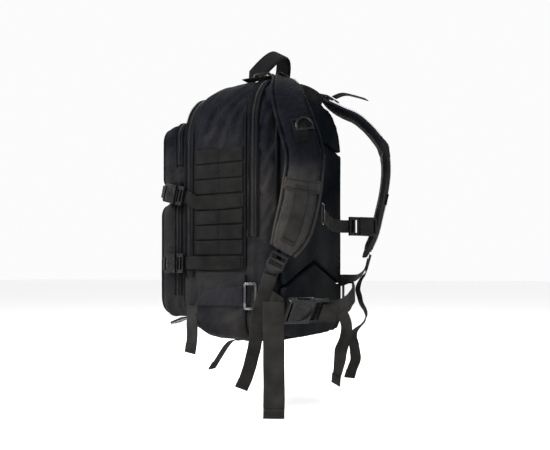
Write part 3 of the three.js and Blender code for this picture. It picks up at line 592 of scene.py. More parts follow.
def shell_lift(rings, normals, seams, height):
    """How far each point of the shell stands out from the CAD solid, in millimetres."""
    x, y, z = rings[..., 0], rings[..., 1], rings[..., 2]
    flat = rings.reshape(-1, 3)
    gap = np.min([np.abs(y - seam) for seam in seams], axis=0)
    between = 1 - np.exp(-(gap / 13) ** 2)
    side = step_up(np.abs(normals[..., 0]), 0.35, 0.85)
    vertical = perlin(np.stack([flat[:, 1] * 0.036, flat[:, 2] * 0.008, np.sign(flat[:, 0]) * 3], -1), 2.0)
    broad = perlin(flat * 0.011, 9.0)
    small = perlin(flat * 0.05, 17.0)
    lift = between * (height + 2.2 * vertical.reshape(y.shape) + 3.0 * broad.reshape(y.shape))
    lift += (0.3 + 0.7 * between) * 0.8 * small.reshape(y.shape)
    for sign, creases in ((1, RIGHT_CREASES), (-1, LEFT_CREASES)):
        for line, width, depth in creases:
            lift += side * (np.sign(x) == sign) * crease(y, z, line, width, CREASE_DEPTH * depth)
    lift += between * side * 2.5 * np.exp(-((z - 90) / 60) ** 2)
    inside = step_up(y, PANEL["front"] - 9, PANEL["front"]) * step_up(-y, -PANEL["back"] - 6, -PANEL["back"])
    inside *= step_up(z, PANEL["low"] - 8, PANEL["low"]) * step_up(-z, -PANEL["high"] - 10, -PANEL["high"])
    under_handle = step_up(normals[..., 2], 0.8, 0.95) * step_up(-np.abs(x), -92, -76)
    under_handle *= step_up(y, -36, -20) * step_up(-y, -56, -50)
    lift *= 1 - 0.9 * under_handle
    return lift * (1 - inside * side) - 0.6 * np.exp(-(gap / 4) ** 2)


def cap_rings(edge, out_y, crown, steps=9):
    """Rings that close an end: inset towards the middle and crowned along y."""
    middle = np.array([0, edge[0, 1], (edge[:, 2].min() + edge[:, 2].max()) / 2])
    made = []
    for k in range(1, steps + 1):
        inset = 1 - k / (steps + 0.6)
        ring = middle + (edge - middle) * (inset, 1, inset)
        ring[:, 1] = edge[:, 1] + out_y * crown * (1 - inset**2.5)
        made.append(ring)
    return made


def lofted(name, rings, stands_for):
    """A closed fabric shell through rings of points."""
    rings = np.asarray(rings)
    around = rings.shape[1]
    girth = distance_along(rings[len(rings) // 2])
    depth = np.concatenate([[0], np.cumsum(np.linalg.norm(np.diff(rings, axis=0), axis=2).mean(1))])
    uvs = np.stack(np.broadcast_arrays(girth[None], depth[:, None]), -1).reshape(-1, 2) * MM
    return outward(make(name, bag(rings.reshape(-1, 3)), tube_faces(len(rings), around), "fabric", uvs=uvs,
                        stands_for=stands_for))


def bag_part(name, stations, ys, seams, height, front_crown, stands_for):
    """One compartment of the bag, from its front ring to its back ring."""
    rings = arch_rings(stations, BAG_CORNERS, ys, 230)
    normals = ring_normals(rings)
    rings = rings + normals * shell_lift(rings, normals, seams, height)[..., None]
    front, back = cap_rings(rings[0], -1, front_crown), cap_rings(rings[-1], 1, 0.0)
    lofted(name, [*front[::-1], *rings, *back], stands_for)


bag_part("main_shell", MAIN_STATIONS, np.linspace(-93, 56.6, 34),
         (-93, MAIN_ZIP_Y - 10, MAIN_ZIP_Y + 10, SEAM_Y), 3.0, 0.2, ("main_compartment",))
bag_part("rear_shell", REAR_STATIONS, np.linspace(57.6, 118, 17),
         (SEAM_Y, REAR_ZIP_Y - 9, REAR_ZIP_Y + 9, 118), 2.2, 0.0, ("rear_compartment", "frame_sheet"))


# ---- Lines round the bag: piping and zips ----
def arch_strip(stations, corners, y, foot, width, lift, step=4.0):
    """A strip up the right side, over the top and down the left side at y, lift millimetres off the CAD.

    It starts and ends at the height foot, or goes all the way round where foot is None.
    """
    outline = arch_outline(*station(stations, y), corners, 400)
    run = np.roll(outline, -1, axis=0) - np.roll(outline, 1, axis=0)
    normal = unit(np.stack([run[:, 1], -run[:, 0]], -1))
    line = outline + normal * lift
    line = np.concatenate([line, line[:1]]) if foot is None else line[line[:, 1] > foot]
    sides = np.tile([0, -1, 0, width], (len(line), 1))
    keys = np.column_stack([line[:, 0], np.full(len(line), y), line[:, 1], sides])
    along = distance_along(keys[:, :3])
    at = np.linspace(0, along[-1], int(along[-1] / step))
    return Strip(np.stack([np.interp(at, along, keys[:, i]) for i in range(7)], -1), smooth=False)


TOOTH_PITCH, TOOTH_LIFT, TOOTH_STAGGER = 2.2 * MM, 0.9 * MM, 0.7 * MM
TOOTH_SIZE = np.array([0.42, 1.9, 0.75]) * MM
TOOTH_CORNERS = [
    (-1, -1, 0), (1, -1, 0), (1, 1, 0), (-1, 1, 0),
    (-0.7, -0.8, 1), (0.7, -0.8, 1), (0.7, 0.8, 1), (-0.7, 0.8, 1),
]
TOOTH_FACES = [(3, 2, 1, 0), (4, 5, 6, 7), (0, 1, 5, 4), (1, 2, 6, 5), (2, 3, 7, 6), (3, 0, 4, 7)]


def teeth(name, strip):
    """Coil zip: two rows of small tapered teeth that interlock."""
    s = np.arange(0.004, strip.length - 0.004, TOOTH_PITCH / 2)
    at, tangent, side, out = strip.frame(s)
    row = np.where(np.arange(len(s)) % 2, 1, -1) * TOOTH_STAGGER
    at = at + side * row[:, None] + out * TOOTH_LIFT
    verts = np.stack([
        at + tangent * a + side * b + out * c for a, b, c in TOOTH_CORNERS * TOOTH_SIZE
    ], 1)
    faces = [tuple(len(TOOTH_CORNERS) * n + i for i in quad) for n in range(len(s)) for quad in TOOTH_FACES]
    make(name, verts.reshape(-1, 3), faces, "zip")


WELT, PIPE = 8.0, 1.5


def zip_run(name, strip, stands_for):
    """Zip: tape, teeth, and two rolled welts with a stitch line on each side."""
    webbing(f"{name}_tape", strip, 1.0, "fabric", stands_for=stands_for)
    teeth(f"{name}_teeth", strip)
    for word, sign in (("front", 1), ("back", -1)):
        s = np.arange(0, strip.length, 0.004)
        sway = 0.5 * np.sin(s * 46 + sign) + 0.3 * np.sin(s * 121)
        for roll, across, high, radius in ((1, WELT - 1.4, 0.9, PIPE - 0.6), (2, WELT + 0.8, 1.2, PIPE)):
            points = strip.points(s, (sign * across + sway) * MM, np.full(len(s), high * MM))
            tube(f"{name}_welt_{word}_{roll}", points, radius * MM, "binding")
        strip_stitches(strip, sign * (WELT + 3.4) * MM, 1.9 * MM)


zip_run("rear_zip_run", arch_strip(REAR_STATIONS, BAG_CORNERS, REAR_ZIP_Y, 195, 22, 1.7), ("rear_zip",))
zip_run("main_zip_run", arch_strip(MAIN_STATIONS, BAG_CORNERS, MAIN_ZIP_Y, 120, 22, 1.7), ("main_zip",))
for name, stations, y, radius in (
    ("seam_piping", MAIN_STATIONS, SEAM_Y, 2.0),
    ("front_piping", MAIN_STATIONS, -92.0, 2.2),
    ("back_piping", REAR_STATIONS, 117.5, 2.6),
):
    line = arch_strip(stations, BAG_CORNERS, y, None, 4, 1.0, 5.0)
    tube(name, line.at, radius * MM, "binding")


# ---- Pockets ----
UPPER_POCKET = {"half": 112, "low": 302, "high": 432}
LOWER_POCKET = {"half": 118, "low": 44, "high": 274}
POCKET_FRONT, POCKET_REAR, POCKET_ZIP_Y = -160, -93.4, -112
CELL, ROW_PITCH, ROW_MIDDLE = 38, 29, 13.75


def pocket_crown(x, z, size):
    """How far the middle of a pocket's face bulges, in millimetres."""
    mid, tall = (size["low"] + size["high"]) / 2, (size["high"] - size["low"]) / 2
    return 6 * np.clip(1 - (x / size["half"]) ** 2, 0, 1) * np.clip(1 - ((z - mid) / tall) ** 2, 0, 1)


def add_pocket(name, size, corners, row_low, rows, row_half):
    """A stuffed pocket with its zip, piping and webbing rows."""
    half, low, high = size["half"], size["low"], size["high"]
    stations = [
        (POCKET_FRONT, half - 13, low + 14, high - 19), (-156, half - 6, low + 8, high - 12),
        (-150, half - 2, low + 3, high - 7), (-140, half, low, high - 4), (-116, half, low, high),
        (POCKET_REAR, half, low, high),
    ]
    ys = np.concatenate([np.linspace(POCKET_FRONT, -148, 5), np.linspace(-145, POCKET_REAR, 14)])
    rings = arch_rings(stations, corners, ys, 190)
    normals = ring_normals(rings)
    y = rings[..., 1]
    flat = rings.reshape(-1, 3)
    seams = (-151, POCKET_ZIP_Y - 8, POCKET_ZIP_Y + 8, POCKET_REAR)
    gap = np.min([np.abs(y - seam) for seam in seams], axis=0)
    puff = 1 - np.exp(-(gap / 8) ** 2)
    drape = perlin(flat * (0.02, 0.05, 0.012), 31.0 + low).reshape(y.shape)
    lift = puff * (3.0 + 4.0 * drape) + 0.7 * perlin(flat * 0.06, 5.0 + low).reshape(y.shape)
    rings = rings + normals * lift[..., None]
    front, back = cap_rings(rings[0], -1, 6.0, 12), cap_rings(rings[-1], 1, 0.0, 3)
    shell = lofted(f"{name}_shell", [*front[::-1], *rings, *back], (name,))
    zip_line = arch_strip(stations, corners, POCKET_ZIP_Y, low + 40, 20, 1.4)
    webbing(f"{name}_zip_tape", zip_line, 1.0, "binding")
    teeth(f"{name}_zip_teeth", zip_line)
    s = np.arange(0, zip_line.length, 0.004)
    for word, sign in (("front", 1), ("back", -1)):
        points = zip_line.points(s, np.full(len(s), sign * 7.5 * MM), np.full(len(s), 1.0 * MM))
        tube(f"{name}_zip_welt_{word}", points, 1.4 * MM, "fabric")
        strip_stitches(zip_line, sign * 10.6 * MM, 1.6 * MM)
    edge = arch_strip(stations, corners, -152, None, 4, 0.6, 5.0)
    tube(f"{name}_piping", edge.at, 2.1 * MM, "binding")
    for row in range(rows):
        add_row(name, row + 1, row_half, row_low + row * ROW_PITCH + ROW_MIDDLE, size)


def add_row(pocket, number, row_half, z, size):
    """Webbing row across a pocket's face, sewn down every CELL and slack between."""
    x = np.arange(-row_half, row_half + 0.1, 3.0)
    slack = np.abs(np.sin(np.pi * (x + row_half) / CELL)) ** 0.7
    y = POCKET_FRONT - pocket_crown(x, z, size) - 1.6 - 2.2 * slack
    keys = np.column_stack([x, y, np.full(len(x), z), np.tile([0, 0, 1, 25.4], (len(x), 1))])
    strip = Strip(keys, smooth=False)
    webbing(f"{pocket}_row_{number}", strip, 1.5, "panel", stands_for=(f"{pocket}_webbing",))
    for column in np.arange(0, 2 * row_half + 1, CELL):
        place = np.clip(column * MM, 0.0015, strip.length - 0.0015)
        bartack(strip, place, 0.0115, facing(strip, place, (0, -1, 0)) * 1.0 * MM, rows=4)


add_pocket("upper_pocket", UPPER_POCKET, (12, 34, 30), 318, 2, 95)
add_pocket("lower_pocket", LOWER_POCKET, (32, 24, 22), 92, 5, 95)


# ---- Side webbing panels and the compression straps that cross them ----
def buckle_frame(front, rear, up):
    """A buckle's own directions: along it from front to rear, out of its face and across it."""
    front, rear, up = (np.array(v, float) for v in (front, rear, up))
    along = unit(rear - front)
    out = unit(up - along * (along @ up))
    across = np.cross(along, out)
    point = lambda s, n, a=0.0: front + along * s + out * n + across * a
    return {"across": across, "point": point}


def strap_key(buckle, s, n, width=25):
    """A strap's key s along a buckle and n out from its middle."""
    return (*buckle["point"](s, n), *buckle["across"], width)


SIDE_BUCKLES = [
    ("upper", 263.75, (126, -136, 290), (147, -76, 276)),
    ("lower", 147.75, (126, -136, 148), (147, -76, 148)),
]


def side_x(y):
    """Half width of the main compartment at y."""
    return np.interp(y, [row[0] for row in MAIN_STATIONS], [row[1] for row in MAIN_STATIONS])


def upright(keys):
    """The rows of keys with their side vectors turned to point up."""
    keys = np.array(keys, float)
    keys[:, 3:6] *= np.where(keys[:, 5] > 0, 1, -1)[:, None]
    return keys


def flipped(keys, sign):
    """The rows of keys on the other side of the bag where sign is -1."""
    keys = np.array(keys, float)
    keys[:, 0] *= sign
    keys[:, 3] *= sign
    return keys


for sign, word in ((1, "right"), (-1, "left")):
    node = f"side_webbing_{word}"
    for row in range(8):
        z = PANEL["low"] + ROW_PITCH * row + ROW_MIDDLE
        y = np.arange(PANEL["front"], PANEL["back"] + 0.1, 2.5)
        cell = (y - PANEL["front"]) / (PANEL["back"] - PANEL["front"]) * 2
        slack = np.abs(np.sin(np.pi * cell)) ** 0.6 * (0.9 + 0.5 * rng.random())
        x = side_x(y) + 1.6 + slack
        tilt = rng.normal(0, 0.4)
        sides = np.tile([0, 0, sign, 26.4], (len(y), 1))
        keys = np.column_stack([x, y, z + tilt * np.linspace(-1, 1, len(y)), sides])
        strip = Strip(flipped(keys, sign), smooth=False)
        webbing(f"{node}_row_{row + 1}", strip, 1.5, "panel", stands_for=(node,))
        for place in (0.0018, strip.length / 2 - 0.0016, strip.length / 2 + 0.0016, strip.length - 0.0018):
            bartack(strip, place, 0.0122, facing(strip, place, (sign, 0, 0)) * 1.0 * MM, rows=3)
    for name, row_z, front, rear in SIDE_BUCKLES:
        buckle = buckle_frame(front, rear, (1, 0, 0))
        sag = 2.2 if name == "upper" else 1.0
        keys = [
            (side_x(56) + 1.2, 55, row_z, 0, 0, 1, 25),
            (side_x(46) + 4.4, 44, row_z, 0, 0, 1, 25),
            (side_x(10) + 5.0, 12, row_z - sag, 0, 0, 1, 25),
            (side_x(-30) + 5.0, -30, row_z - sag * 0.6, 0, 0, 1, 25),
            (side_x(-58) + 6.0, -57, row_z + 1, 0, 0, 1, 25),
            strap_key(buckle, 70, -4.6),
            strap_key(buckle, 52, -4.6),
            strap_key(buckle, 45, -4.4),
        ]
        strip = Strip(flipped(upright(keys), sign))
        webbing(f"{name}_compression_strap_{word}", strip, 1.6, "panel")
        for place in (0.004, 0.010):
            bartack(strip, place, 0.011, 1.1 * MM * facing(strip, place, (sign, 0, 0)), rows=4)
        loop = [strap_key(buckle, s, n) for s, n in ((9, -1.6), (3, -2.6), (-8, -3.6), (-20, -4.6))]
        webbing(f"{name}_buckle_anchor_{word}", Strip(flipped(upright(loop), sign)), 1.8)


# ---- Padding: shapes that swell a little under pressure ----
SOFT = []
CLOTH_FRAMES = 20


def soft(piece, voxel, cap):
    """Queues a piece to be remeshed and puffed out with the others, moving no point beyond cap metres."""
    SOFT.append((piece, voxel, cap))


def evaluated(piece):
    """A new mesh of what a piece's modifiers make of it."""
    deps = bpy.context.evaluated_depsgraph_get()
    seen = piece.evaluated_get(deps)
    return bpy.data.meshes.new_from_object(seen, preserve_all_data_layers=True, depsgraph=deps)


def baked(piece):
    """Replaces a piece's mesh with what its modifiers make of it."""
    mesh = evaluated(piece)
    piece.modifiers.clear()
    piece.data = mesh
    return piece


def coords(mesh):
    """The mesh's points, as rows of x, y and z."""
    at = np.zeros(len(mesh.vertices) * 3)
    mesh.vertices.foreach_get("co", at)
    return at.reshape(-1, 3)


def inflate():
    """Remeshes the padded pieces and puffs them out as cloth under pressure."""
    starts = []
    for piece, voxel, _ in SOFT:
        remesh = piece.modifiers.new("remesh", "REMESH")
        remesh.mode = "VOXEL"
        remesh.voxel_size = voxel
        smooth = piece.modifiers.new("smooth", "SMOOTH")
        smooth.iterations = 6
        baked(piece)
        starts.append(coords(piece.data))
        cloth = piece.modifiers.new("cloth", "CLOTH")
        cloth.settings.use_pressure = True
        cloth.settings.uniform_pressure_force = 4
        cloth.settings.mass = 0.2
        cloth.settings.effector_weights.gravity = 0
        cloth.settings.tension_stiffness = 12
        cloth.point_cache.frame_end = CLOTH_FRAMES
    for frame_number in range(1, CLOTH_FRAMES + 1):
        scene.frame_set(frame_number)
    for (piece, _, cap), start in zip(SOFT, starts):
        mesh = evaluated(piece)
        moved = coords(mesh) - start
        far = np.linalg.norm(moved, axis=1, keepdims=True)
        moved *= np.minimum(1, cap / np.maximum(far, 1e-9))
        mesh.vertices.foreach_set("co", (start + moved).ravel())
        piece.modifiers.clear()
        piece.data = mesh
        divide = piece.modifiers.new("divide", "SUBSURF")
        divide.levels = 1
        divide.render_levels = 1
        baked(piece)
        piece.data.polygons.foreach_set("use_smooth", [True] * len(piece.data.polygons))
        piece.data.update()
    scene.frame_set(1)


BODY_OF = {node: body for body, nodes in frame["record"]["behaviour"]["bodies"].items() for node in nodes}


def cad_copy(name, node, kind):
    """A welded copy of a CAD node, with its flat faces joined, on the same body."""
    shape = bmesh.new()
    shape.from_mesh(bpy.data.objects[node].data)
    bmesh.ops.remove_doubles(shape, verts=shape.verts, dist=1e-5)
    bmesh.ops.dissolve_limit(shape, angle_limit=math.radians(0.6), verts=shape.verts, edges=shape.edges)
    mesh = bpy.data.meshes.new(name)
    shape.to_mesh(mesh)
    shape.free()
    mesh.materials.clear()
    mesh.materials.append(MATERIALS[kind])
    piece = bpy.data.objects.new(name, mesh)
    scene.collection.objects.link(piece)
    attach(piece, BODY_OF[node])
    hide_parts(node)
    return piece


def hardware(node, kind="plastic", width=0.7):
    """A moulded or cast piece: the CAD shape with its edges rounded."""
    piece = cad_copy(f"{node}_moulded", node, kind)
    bevel = piece.modifiers.new("bevel", "BEVEL")
    bevel.width = width * MM
    bevel.segments = 3
    bevel.limit_method = "ANGLE"
    bevel.angle_limit = math.radians(28)
    baked(piece)
    piece.data.polygons.foreach_set("use_smooth", [True] * len(piece.data.polygons))
    piece.data.set_sharp_from_angle(angle=math.radians(38))
    return piece


# ---- Back pads: three foam blocks under spacer mesh ----
for node in ("lumbar_pad", "back_pad", "upper_back_pad"):
    soft(cad_copy(f"{node}_cover", node, "lining"), 0.0045, 0.0022)


# ---- Shoulder pads ----
PAD_THICK, PAD_WIDTH = 14, 72


def pad_keys(rows):
    """Rows of (point, side) or (point, side, width) to whole keys."""
    return [(*row[0], *row[1], row[2] if len(row) > 2 else PAD_WIDTH) for row in rows]


R1, R2 = (-0.5, 0.866, 0), (-0.91, -0.41, 0)  # across the lower part of the right pad and of the left
RIGHT_PAD = pad_keys([
    ((80, 104, 498), (-0.92, 0.38, 0), 54), ((91, 116, 486), (-0.85, 0.5, 0), 60),
    ((112, 127, 463), (-0.8, 0.6, 0), 68), ((128, 142, 432), (-0.7, 0.71, 0)),
    ((133, 157, 393), (-0.62, 0.78, 0)), ((130, 170, 343), (-0.56, 0.83, 0)), ((137, 169, 290), R1),
    ((146, 164, 240), R1), ((157, 155, 195), R1, 67), ((168, 143, 165), R1, 48),
])
LEFT_PAD = pad_keys([
    ((-75, 117, 487), (-0.98, -0.18, 0), 54), ((-77, 130, 478), (-0.96, -0.27, 0), 60),
    ((-79, 146, 468), (-0.95, -0.32, 0), 68), ((-80, 166, 457), (-0.94, -0.35, 0)),
    ((-81, 191, 444), (-0.93, -0.37, 0)), ((-85, 210, 426), (-0.92, -0.39, 0)), ((-89, 230, 402), R2),
    ((-92, 245, 373), R2), ((-95, 248, 340), R2), ((-98, 243, 298), R2), ((-101, 231, 250), R2),
    ((-104, 217, 202), R2, 66), ((-109, 195, 165), R2, 44),
])


def add_pad(word, keys, ring_z, band_z):
    """A shoulder pad: foam, bound edges, webbing down its middle, a cross band and its D-ring."""
    strip = Strip(keys, step=6.0)
    slim = Strip([(*k[:6], k[6] - 5) for k in keys], step=6.0)
    section = lambda k, half: pad_section(half, (PAD_THICK - 2.5) * MM)
    foam = extrude(f"shoulder_pad_{word}_foam", slim, section, "foam", stands_for=(f"shoulder_pad_{word}",))
    soft(foam, 0.0045, 0.0022)
    s = np.arange(0.0, strip.length, 0.004)
    half = np.interp(s, strip.s, strip.width) / 2
    for edge, sign in (("inner", 1), ("outer", -1)):
        rim = strip.points(s, sign * (half - 0.0022), np.zeros(len(s)))
        tube(f"shoulder_pad_{word}_binding_{edge}", rim, 2.9 * MM, "foam", around=10)
        inset = strip.points(s, sign * (half - 0.0085), np.full(len(s), (PAD_THICK / 2 - 0.1) * MM))
        stitch_line(inset, strip.frame(s)[3])
    lift = (PAD_THICK / 2 + 0.2) * MM
    heights = strip.at[:, 2] * 1000 + BACK_CENTRE_Z
    at_height = lambda z: strip.s[np.argmin(np.abs(heights - z) + (strip.s < 0.06) * 1e3)]
    band, loop = at_height(band_z), at_height(ring_z)
    for part, start, end, raised, kind in (
        ("upper", loop, band, 0.0, "foam"),
        ("lower", band, strip.length - 0.017, 1.1 * MM, "webbing"),
    ):
        spine = strip.part(start, end, 0.0275, lift + raised)
        webbing(f"shoulder_pad_{word}_{part}_webbing", spine, 1.0, kind)
        for sign in (1, -1):
            strip_stitches(spine, sign * 11.6 * MM, 1.1 * MM)
        bartack(spine, spine.length - 0.006, 0.0125, 1.1 * MM, rows=5)
    cover = strip.part(band - 0.011, band + 0.011, 0.066, lift + 0.9 * MM)
    webbing(f"shoulder_pad_{word}_band", cover, 1.3, "foam")
    for end in (0.003, cover.length - 0.003):
        bartack(cover, end, 0.031, 1.0 * MM, rows=2)
    over_ring = 3.6 * MM * np.exp(-(np.linspace(-21, 21, 10) / 9) ** 2)
    keeper = strip.part(loop - 0.021, loop + 0.021, 0.026, lift + 1.6 * MM + over_ring)
    webbing(f"d_ring_keeper_{word}", keeper, 1.5, "binding")
    for end in (0.004, 0.008, keeper.length - 0.008, keeper.length - 0.004):
        bartack(keeper, end, 0.0115, 1.1 * MM, rows=3)
    hardware(f"d_ring_{word}", "ring", 0.9)


add_pad("right", RIGHT_PAD, 386, 283)
add_pad("left", LEFT_PAD, 379, 283)


# ---- Straps of the harness ----
def keys_of(rows, width):
    """Rows of (point, side) or whole keys to whole keys, with side vectors that don't turn over."""
    made = [np.array((*row[0], *row[1], width) if len(row) == 2 else row, float) for row in rows]
    for before, after in zip(made[:-1], made[1:]):
        if before[3:6] @ after[3:6] < 0:
            after[3:6] *= -1
    return np.array(made)


def waved(strip, height, length, phase=0.0):
    """Lets a strip ripple: height and wave length in metres, growing in from its start and out at its end."""
    fade = np.clip(strip.s / 0.03, 0, 1) * np.clip((strip.length - strip.s) / 0.02, 0, 1)
    turns = 2 * math.pi * strip.s / length
    ripple = np.sin(turns + phase) + 0.5 * np.sin(turns / 0.43 + phase)
    strip.at = strip.at + strip.out * (height * fade * ripple)[:, None]
    strip.tangent = unit(np.gradient(strip.at, axis=0))
    strip.out = unit(np.cross(strip.tangent, strip.side))
    return strip


def strap(node, rows, width=25, tacks=(), wave=None):
    """The webbing of one CAD strap, with a bartack on both faces at each of the tacks."""
    strip = Strip(keys_of(rows, width))
    if wave:
        waved(strip, *wave)
    piece = webbing(f"{node}_webbing", strip, stands_for=(node,))
    for place in tacks:
        for out in (1, -1):
            bartack(strip, place, width * 0.45 * MM, out * 1.05 * MM, rows=4)
    return piece, strip


def free_end(piece, strip):
    """A rolled and stitched end on a free strap."""
    s = strip.length
    fold = strip.part(s - 0.018, s - 0.0005, strip.width[-1] * 0.995, 0.0017)
    webbing(f"{piece.name}_fold", fold, 1.5)
    for row in (0.003, 0.007, 0.012):
        for out in (1, -1):
            place = fold.length - row
            bartack(fold, place, strip.width[-1] * 0.46, (1.0 if out > 0 else -2.7) * MM, rows=1)


RIGHT_LOCK = buckle_frame((170, 141, 160), (181.5, 128.4, 128.3), (0.76, 0.44, 0.1))
LEFT_LOCK = buckle_frame((-104, 212, 166), (-106, 201, 131), (-0.35, 0.85, -0.3))
UNDER = -3.6  # a strap's middle below the middle of the lock that it passes under
strap("lower_strap_right", [
    strap_key(RIGHT_LOCK, 8, UNDER), strap_key(RIGHT_LOCK, 34, UNDER), ((164, 112, 114), (-0.4, 0.9, 0)),
    ((151.4, 99.4, 103.5), (-0.2, 0.98, 0)), ((147.2, 97, 90), (0, 1, 0)), ((147.2, 95, 70), (0, 1, 0)),
])
strap("lower_strap_left", [
    strap_key(LEFT_LOCK, 8, UNDER), strap_key(LEFT_LOCK, 34, UNDER), ((-117, 180, 121), (-0.8, -0.5, 0.1)),
    ((-134, 156, 116), (-0.5, 0.1, 0.6)), ((-142.5, 138, 114), (-0.1, 0.4, 0.9)),
    ((-142.5, 125, 113), (0, 0.1, 1)),
])
TAILS = {
    "right": [
        strap_key(RIGHT_LOCK, 40, 1), ((180, 119, 104), R1), ((174, 107, 82), R1), ((169, 97, 58), R1),
        ((166, 91, 28), (-0.55, 0.83, 0)), ((164, 86, -4), (-0.62, 0.78, 0)),
        ((163, 75, -42), (-0.66, 0.75, 0)), ((163, 64, -70), (-0.62, 0.78, 0)),
        ((164, 58, -83), (-0.6, 0.8, 0)),
    ],
    "left": [
        strap_key(LEFT_LOCK, 40, 1), ((-110, 188, 112), (-0.8, -0.6, 0)), ((-110, 182, 92), (-0.7, -0.7, 0)),
        ((-111, 188, 70), (-0.7, -0.7, 0)), ((-111, 202, 42), (-0.85, -0.5, 0)),
        ((-114, 190, 24), (-1, -0.1, 0)), ((-119, 170, 4), (-0.95, 0.3, 0)),
        ((-121, 170, -24), (-0.8, 0.6, 0)), ((-121, 173, -54), (-0.7, 0.7, 0)),
        ((-124, 162, -82), (-0.7, 0.7, 0)), ((-125, 158, -94), (-0.7, 0.7, 0)),
    ],
}
for word, rows in TAILS.items():
    tail, strip = strap(f"shoulder_tail_{word}", rows, wave=(0.0011, 0.07))
    free_end(tail, strip)


WAIST = buckle_frame((163, 148, 62), (96.6, 194.4, 60), (0.49, 0.69, -0.53))
STERNUM = buckle_frame((-64, 236.5, 221), (-20, 197.5, 221), (0.66, 0.75, 0))
strap("waist_belt_right", [
    ((156, 90, 86), (0, 0, 1)), ((160, 107, 82), (0, 0, 1)), ((163, 125, 75), (0.1, 0.1, 1)),
    ((165, 139, 67), (0.28, 0.45, 0.85)),
], 38, tacks=(0.006,))
strap("waist_belt_left", [
    strap_key(WAIST, 60, -5, 38), strap_key(WAIST, 96, -5, 38), ((20, 201, 66), (0.1, 0.2, 1)),
    ((-40, 190, 72), (0, 0, 1)), ((-100, 174, 80), (0, 0, 1)), ((-141, 164, 86), (0, 0, 1)),
], 38)
FACE = (-0.454, 0.891, 0)
BELT_TAILS = {
    "right": ((0.0013, 0.06, 1.0), [
        ((178.5, 132, 78), FACE), ((177.5, 131, 60), FACE), ((173, 129, 36), FACE), ((172, 129, 4), FACE),
        ((174, 130, -28), FACE), ((171, 129, -60), FACE), ((171, 129, -100), FACE),
        ((170, 128, -130), (-0.48, 0.88, 0.05)),
    ]),
    "left": ((0.0005, 0.06, 1.0), [
        ((86.2, 216.4, 53.6), (0.29, 0.45, 0.85)), (75.6, 225.2, 42.6, 0.6, 0.7, 0.3, 35),
        ((67, 225.5, 27), (0.6, 0.8, 0)), ((62, 221, 6), (0.6, 0.8, 0)), ((64, 213, -16), (0.5, 0.86, 0)),
        ((65, 210, -40), (0.6, 0.8, 0)), ((65, 206, -62), (0.7, 0.7, 0)), ((65, 204, -78), (0.7, 0.7, 0)),
    ]),
}
for word, (wave, rows) in BELT_TAILS.items():
    tail, strip = strap(f"belt_tail_{word}", rows, 38, wave=wave)
    free_end(tail, strip)
over_tongue = [strap_key(WAIST, s, n, 38) for s, n in ((68, 7.9), (79, 8.1), (91, 10.4))]
webbing("belt_tail_left_root", Strip(keys_of([*over_tongue, BELT_TAILS["left"][1][0]], 38)))
sternum_line = strap("sternum_strap", [
    ((122, 198, 235), (0, 0, 1)), ((98, 192, 234), (0, 0, 1)), ((60, 183, 230), (0, 0, 1)),
    ((34, 177, 226), (0, 0, 1)), strap_key(STERNUM, 84, -5), strap_key(STERNUM, 48, -5),
], tacks=(0.022,), wave=(0.0014, 0.032))[1]


def add_sternum_slider(place):
    """The moulded loop and bar that the sternum strap passes through, at a distance along it."""
    at, tangent, side, out = (row[0] for row in sternum_line.frame(np.array([place])))
    out = out * facing(sternum_line, place, (1, 1, 0))
    turn = np.linspace(0, 2 * math.pi, 49)
    rounded = lambda wave: np.sign(wave) * np.abs(wave) ** 0.4
    rim = at + out * 0.0016 + np.outer(rounded(np.cos(turn)) * 0.0105, tangent)
    rim = rim + np.outer(rounded(np.sin(turn)) * 0.0175, side)
    tube("sternum_slider_rim", rim, 1.9 * MM, "plastic", around=10)
    bar = at + out * 0.0034 + np.outer(np.linspace(-0.0168, 0.0168, 8), side)
    tube("sternum_slider_bar", bar, 1.7 * MM, "plastic", around=10)


add_sternum_slider(0.008)
yoke = Strip(np.array([
    (x, 124.5 - 0.0009 * x * x, 481 - 0.0012 * x * x, 0, 0.25, 0.97, 30) for x in np.linspace(-50, 50, 26)
]), smooth=False)
extrude("top_yoke", yoke, lambda k, half: pad_section(half, 9 * MM), "foam")
for edge in (-0.011, 0.011):
    for out in (1, -1):
        strip_stitches(yoke, edge, out * 4.3 * MM)
for node, side, route in (
    ("corner_lash_strap", (0, 1, 0), [
        (141.6, -62, 66), (141.6, -63, 50), (138.5, -66, 28), (132, -70, 8), (130, -73, -10),
        (130, -76, -28)]),
    ("bottom_lash_strap", (1, 0, 0), [
        (88, 16, -1.6), (88, -6, -3), (88, -18, -14), (88, -34, -36), (88, -52, -62)]),
):
    lash, strip = strap(node, [(point, side) for point in route])
    free_end(lash, strip)

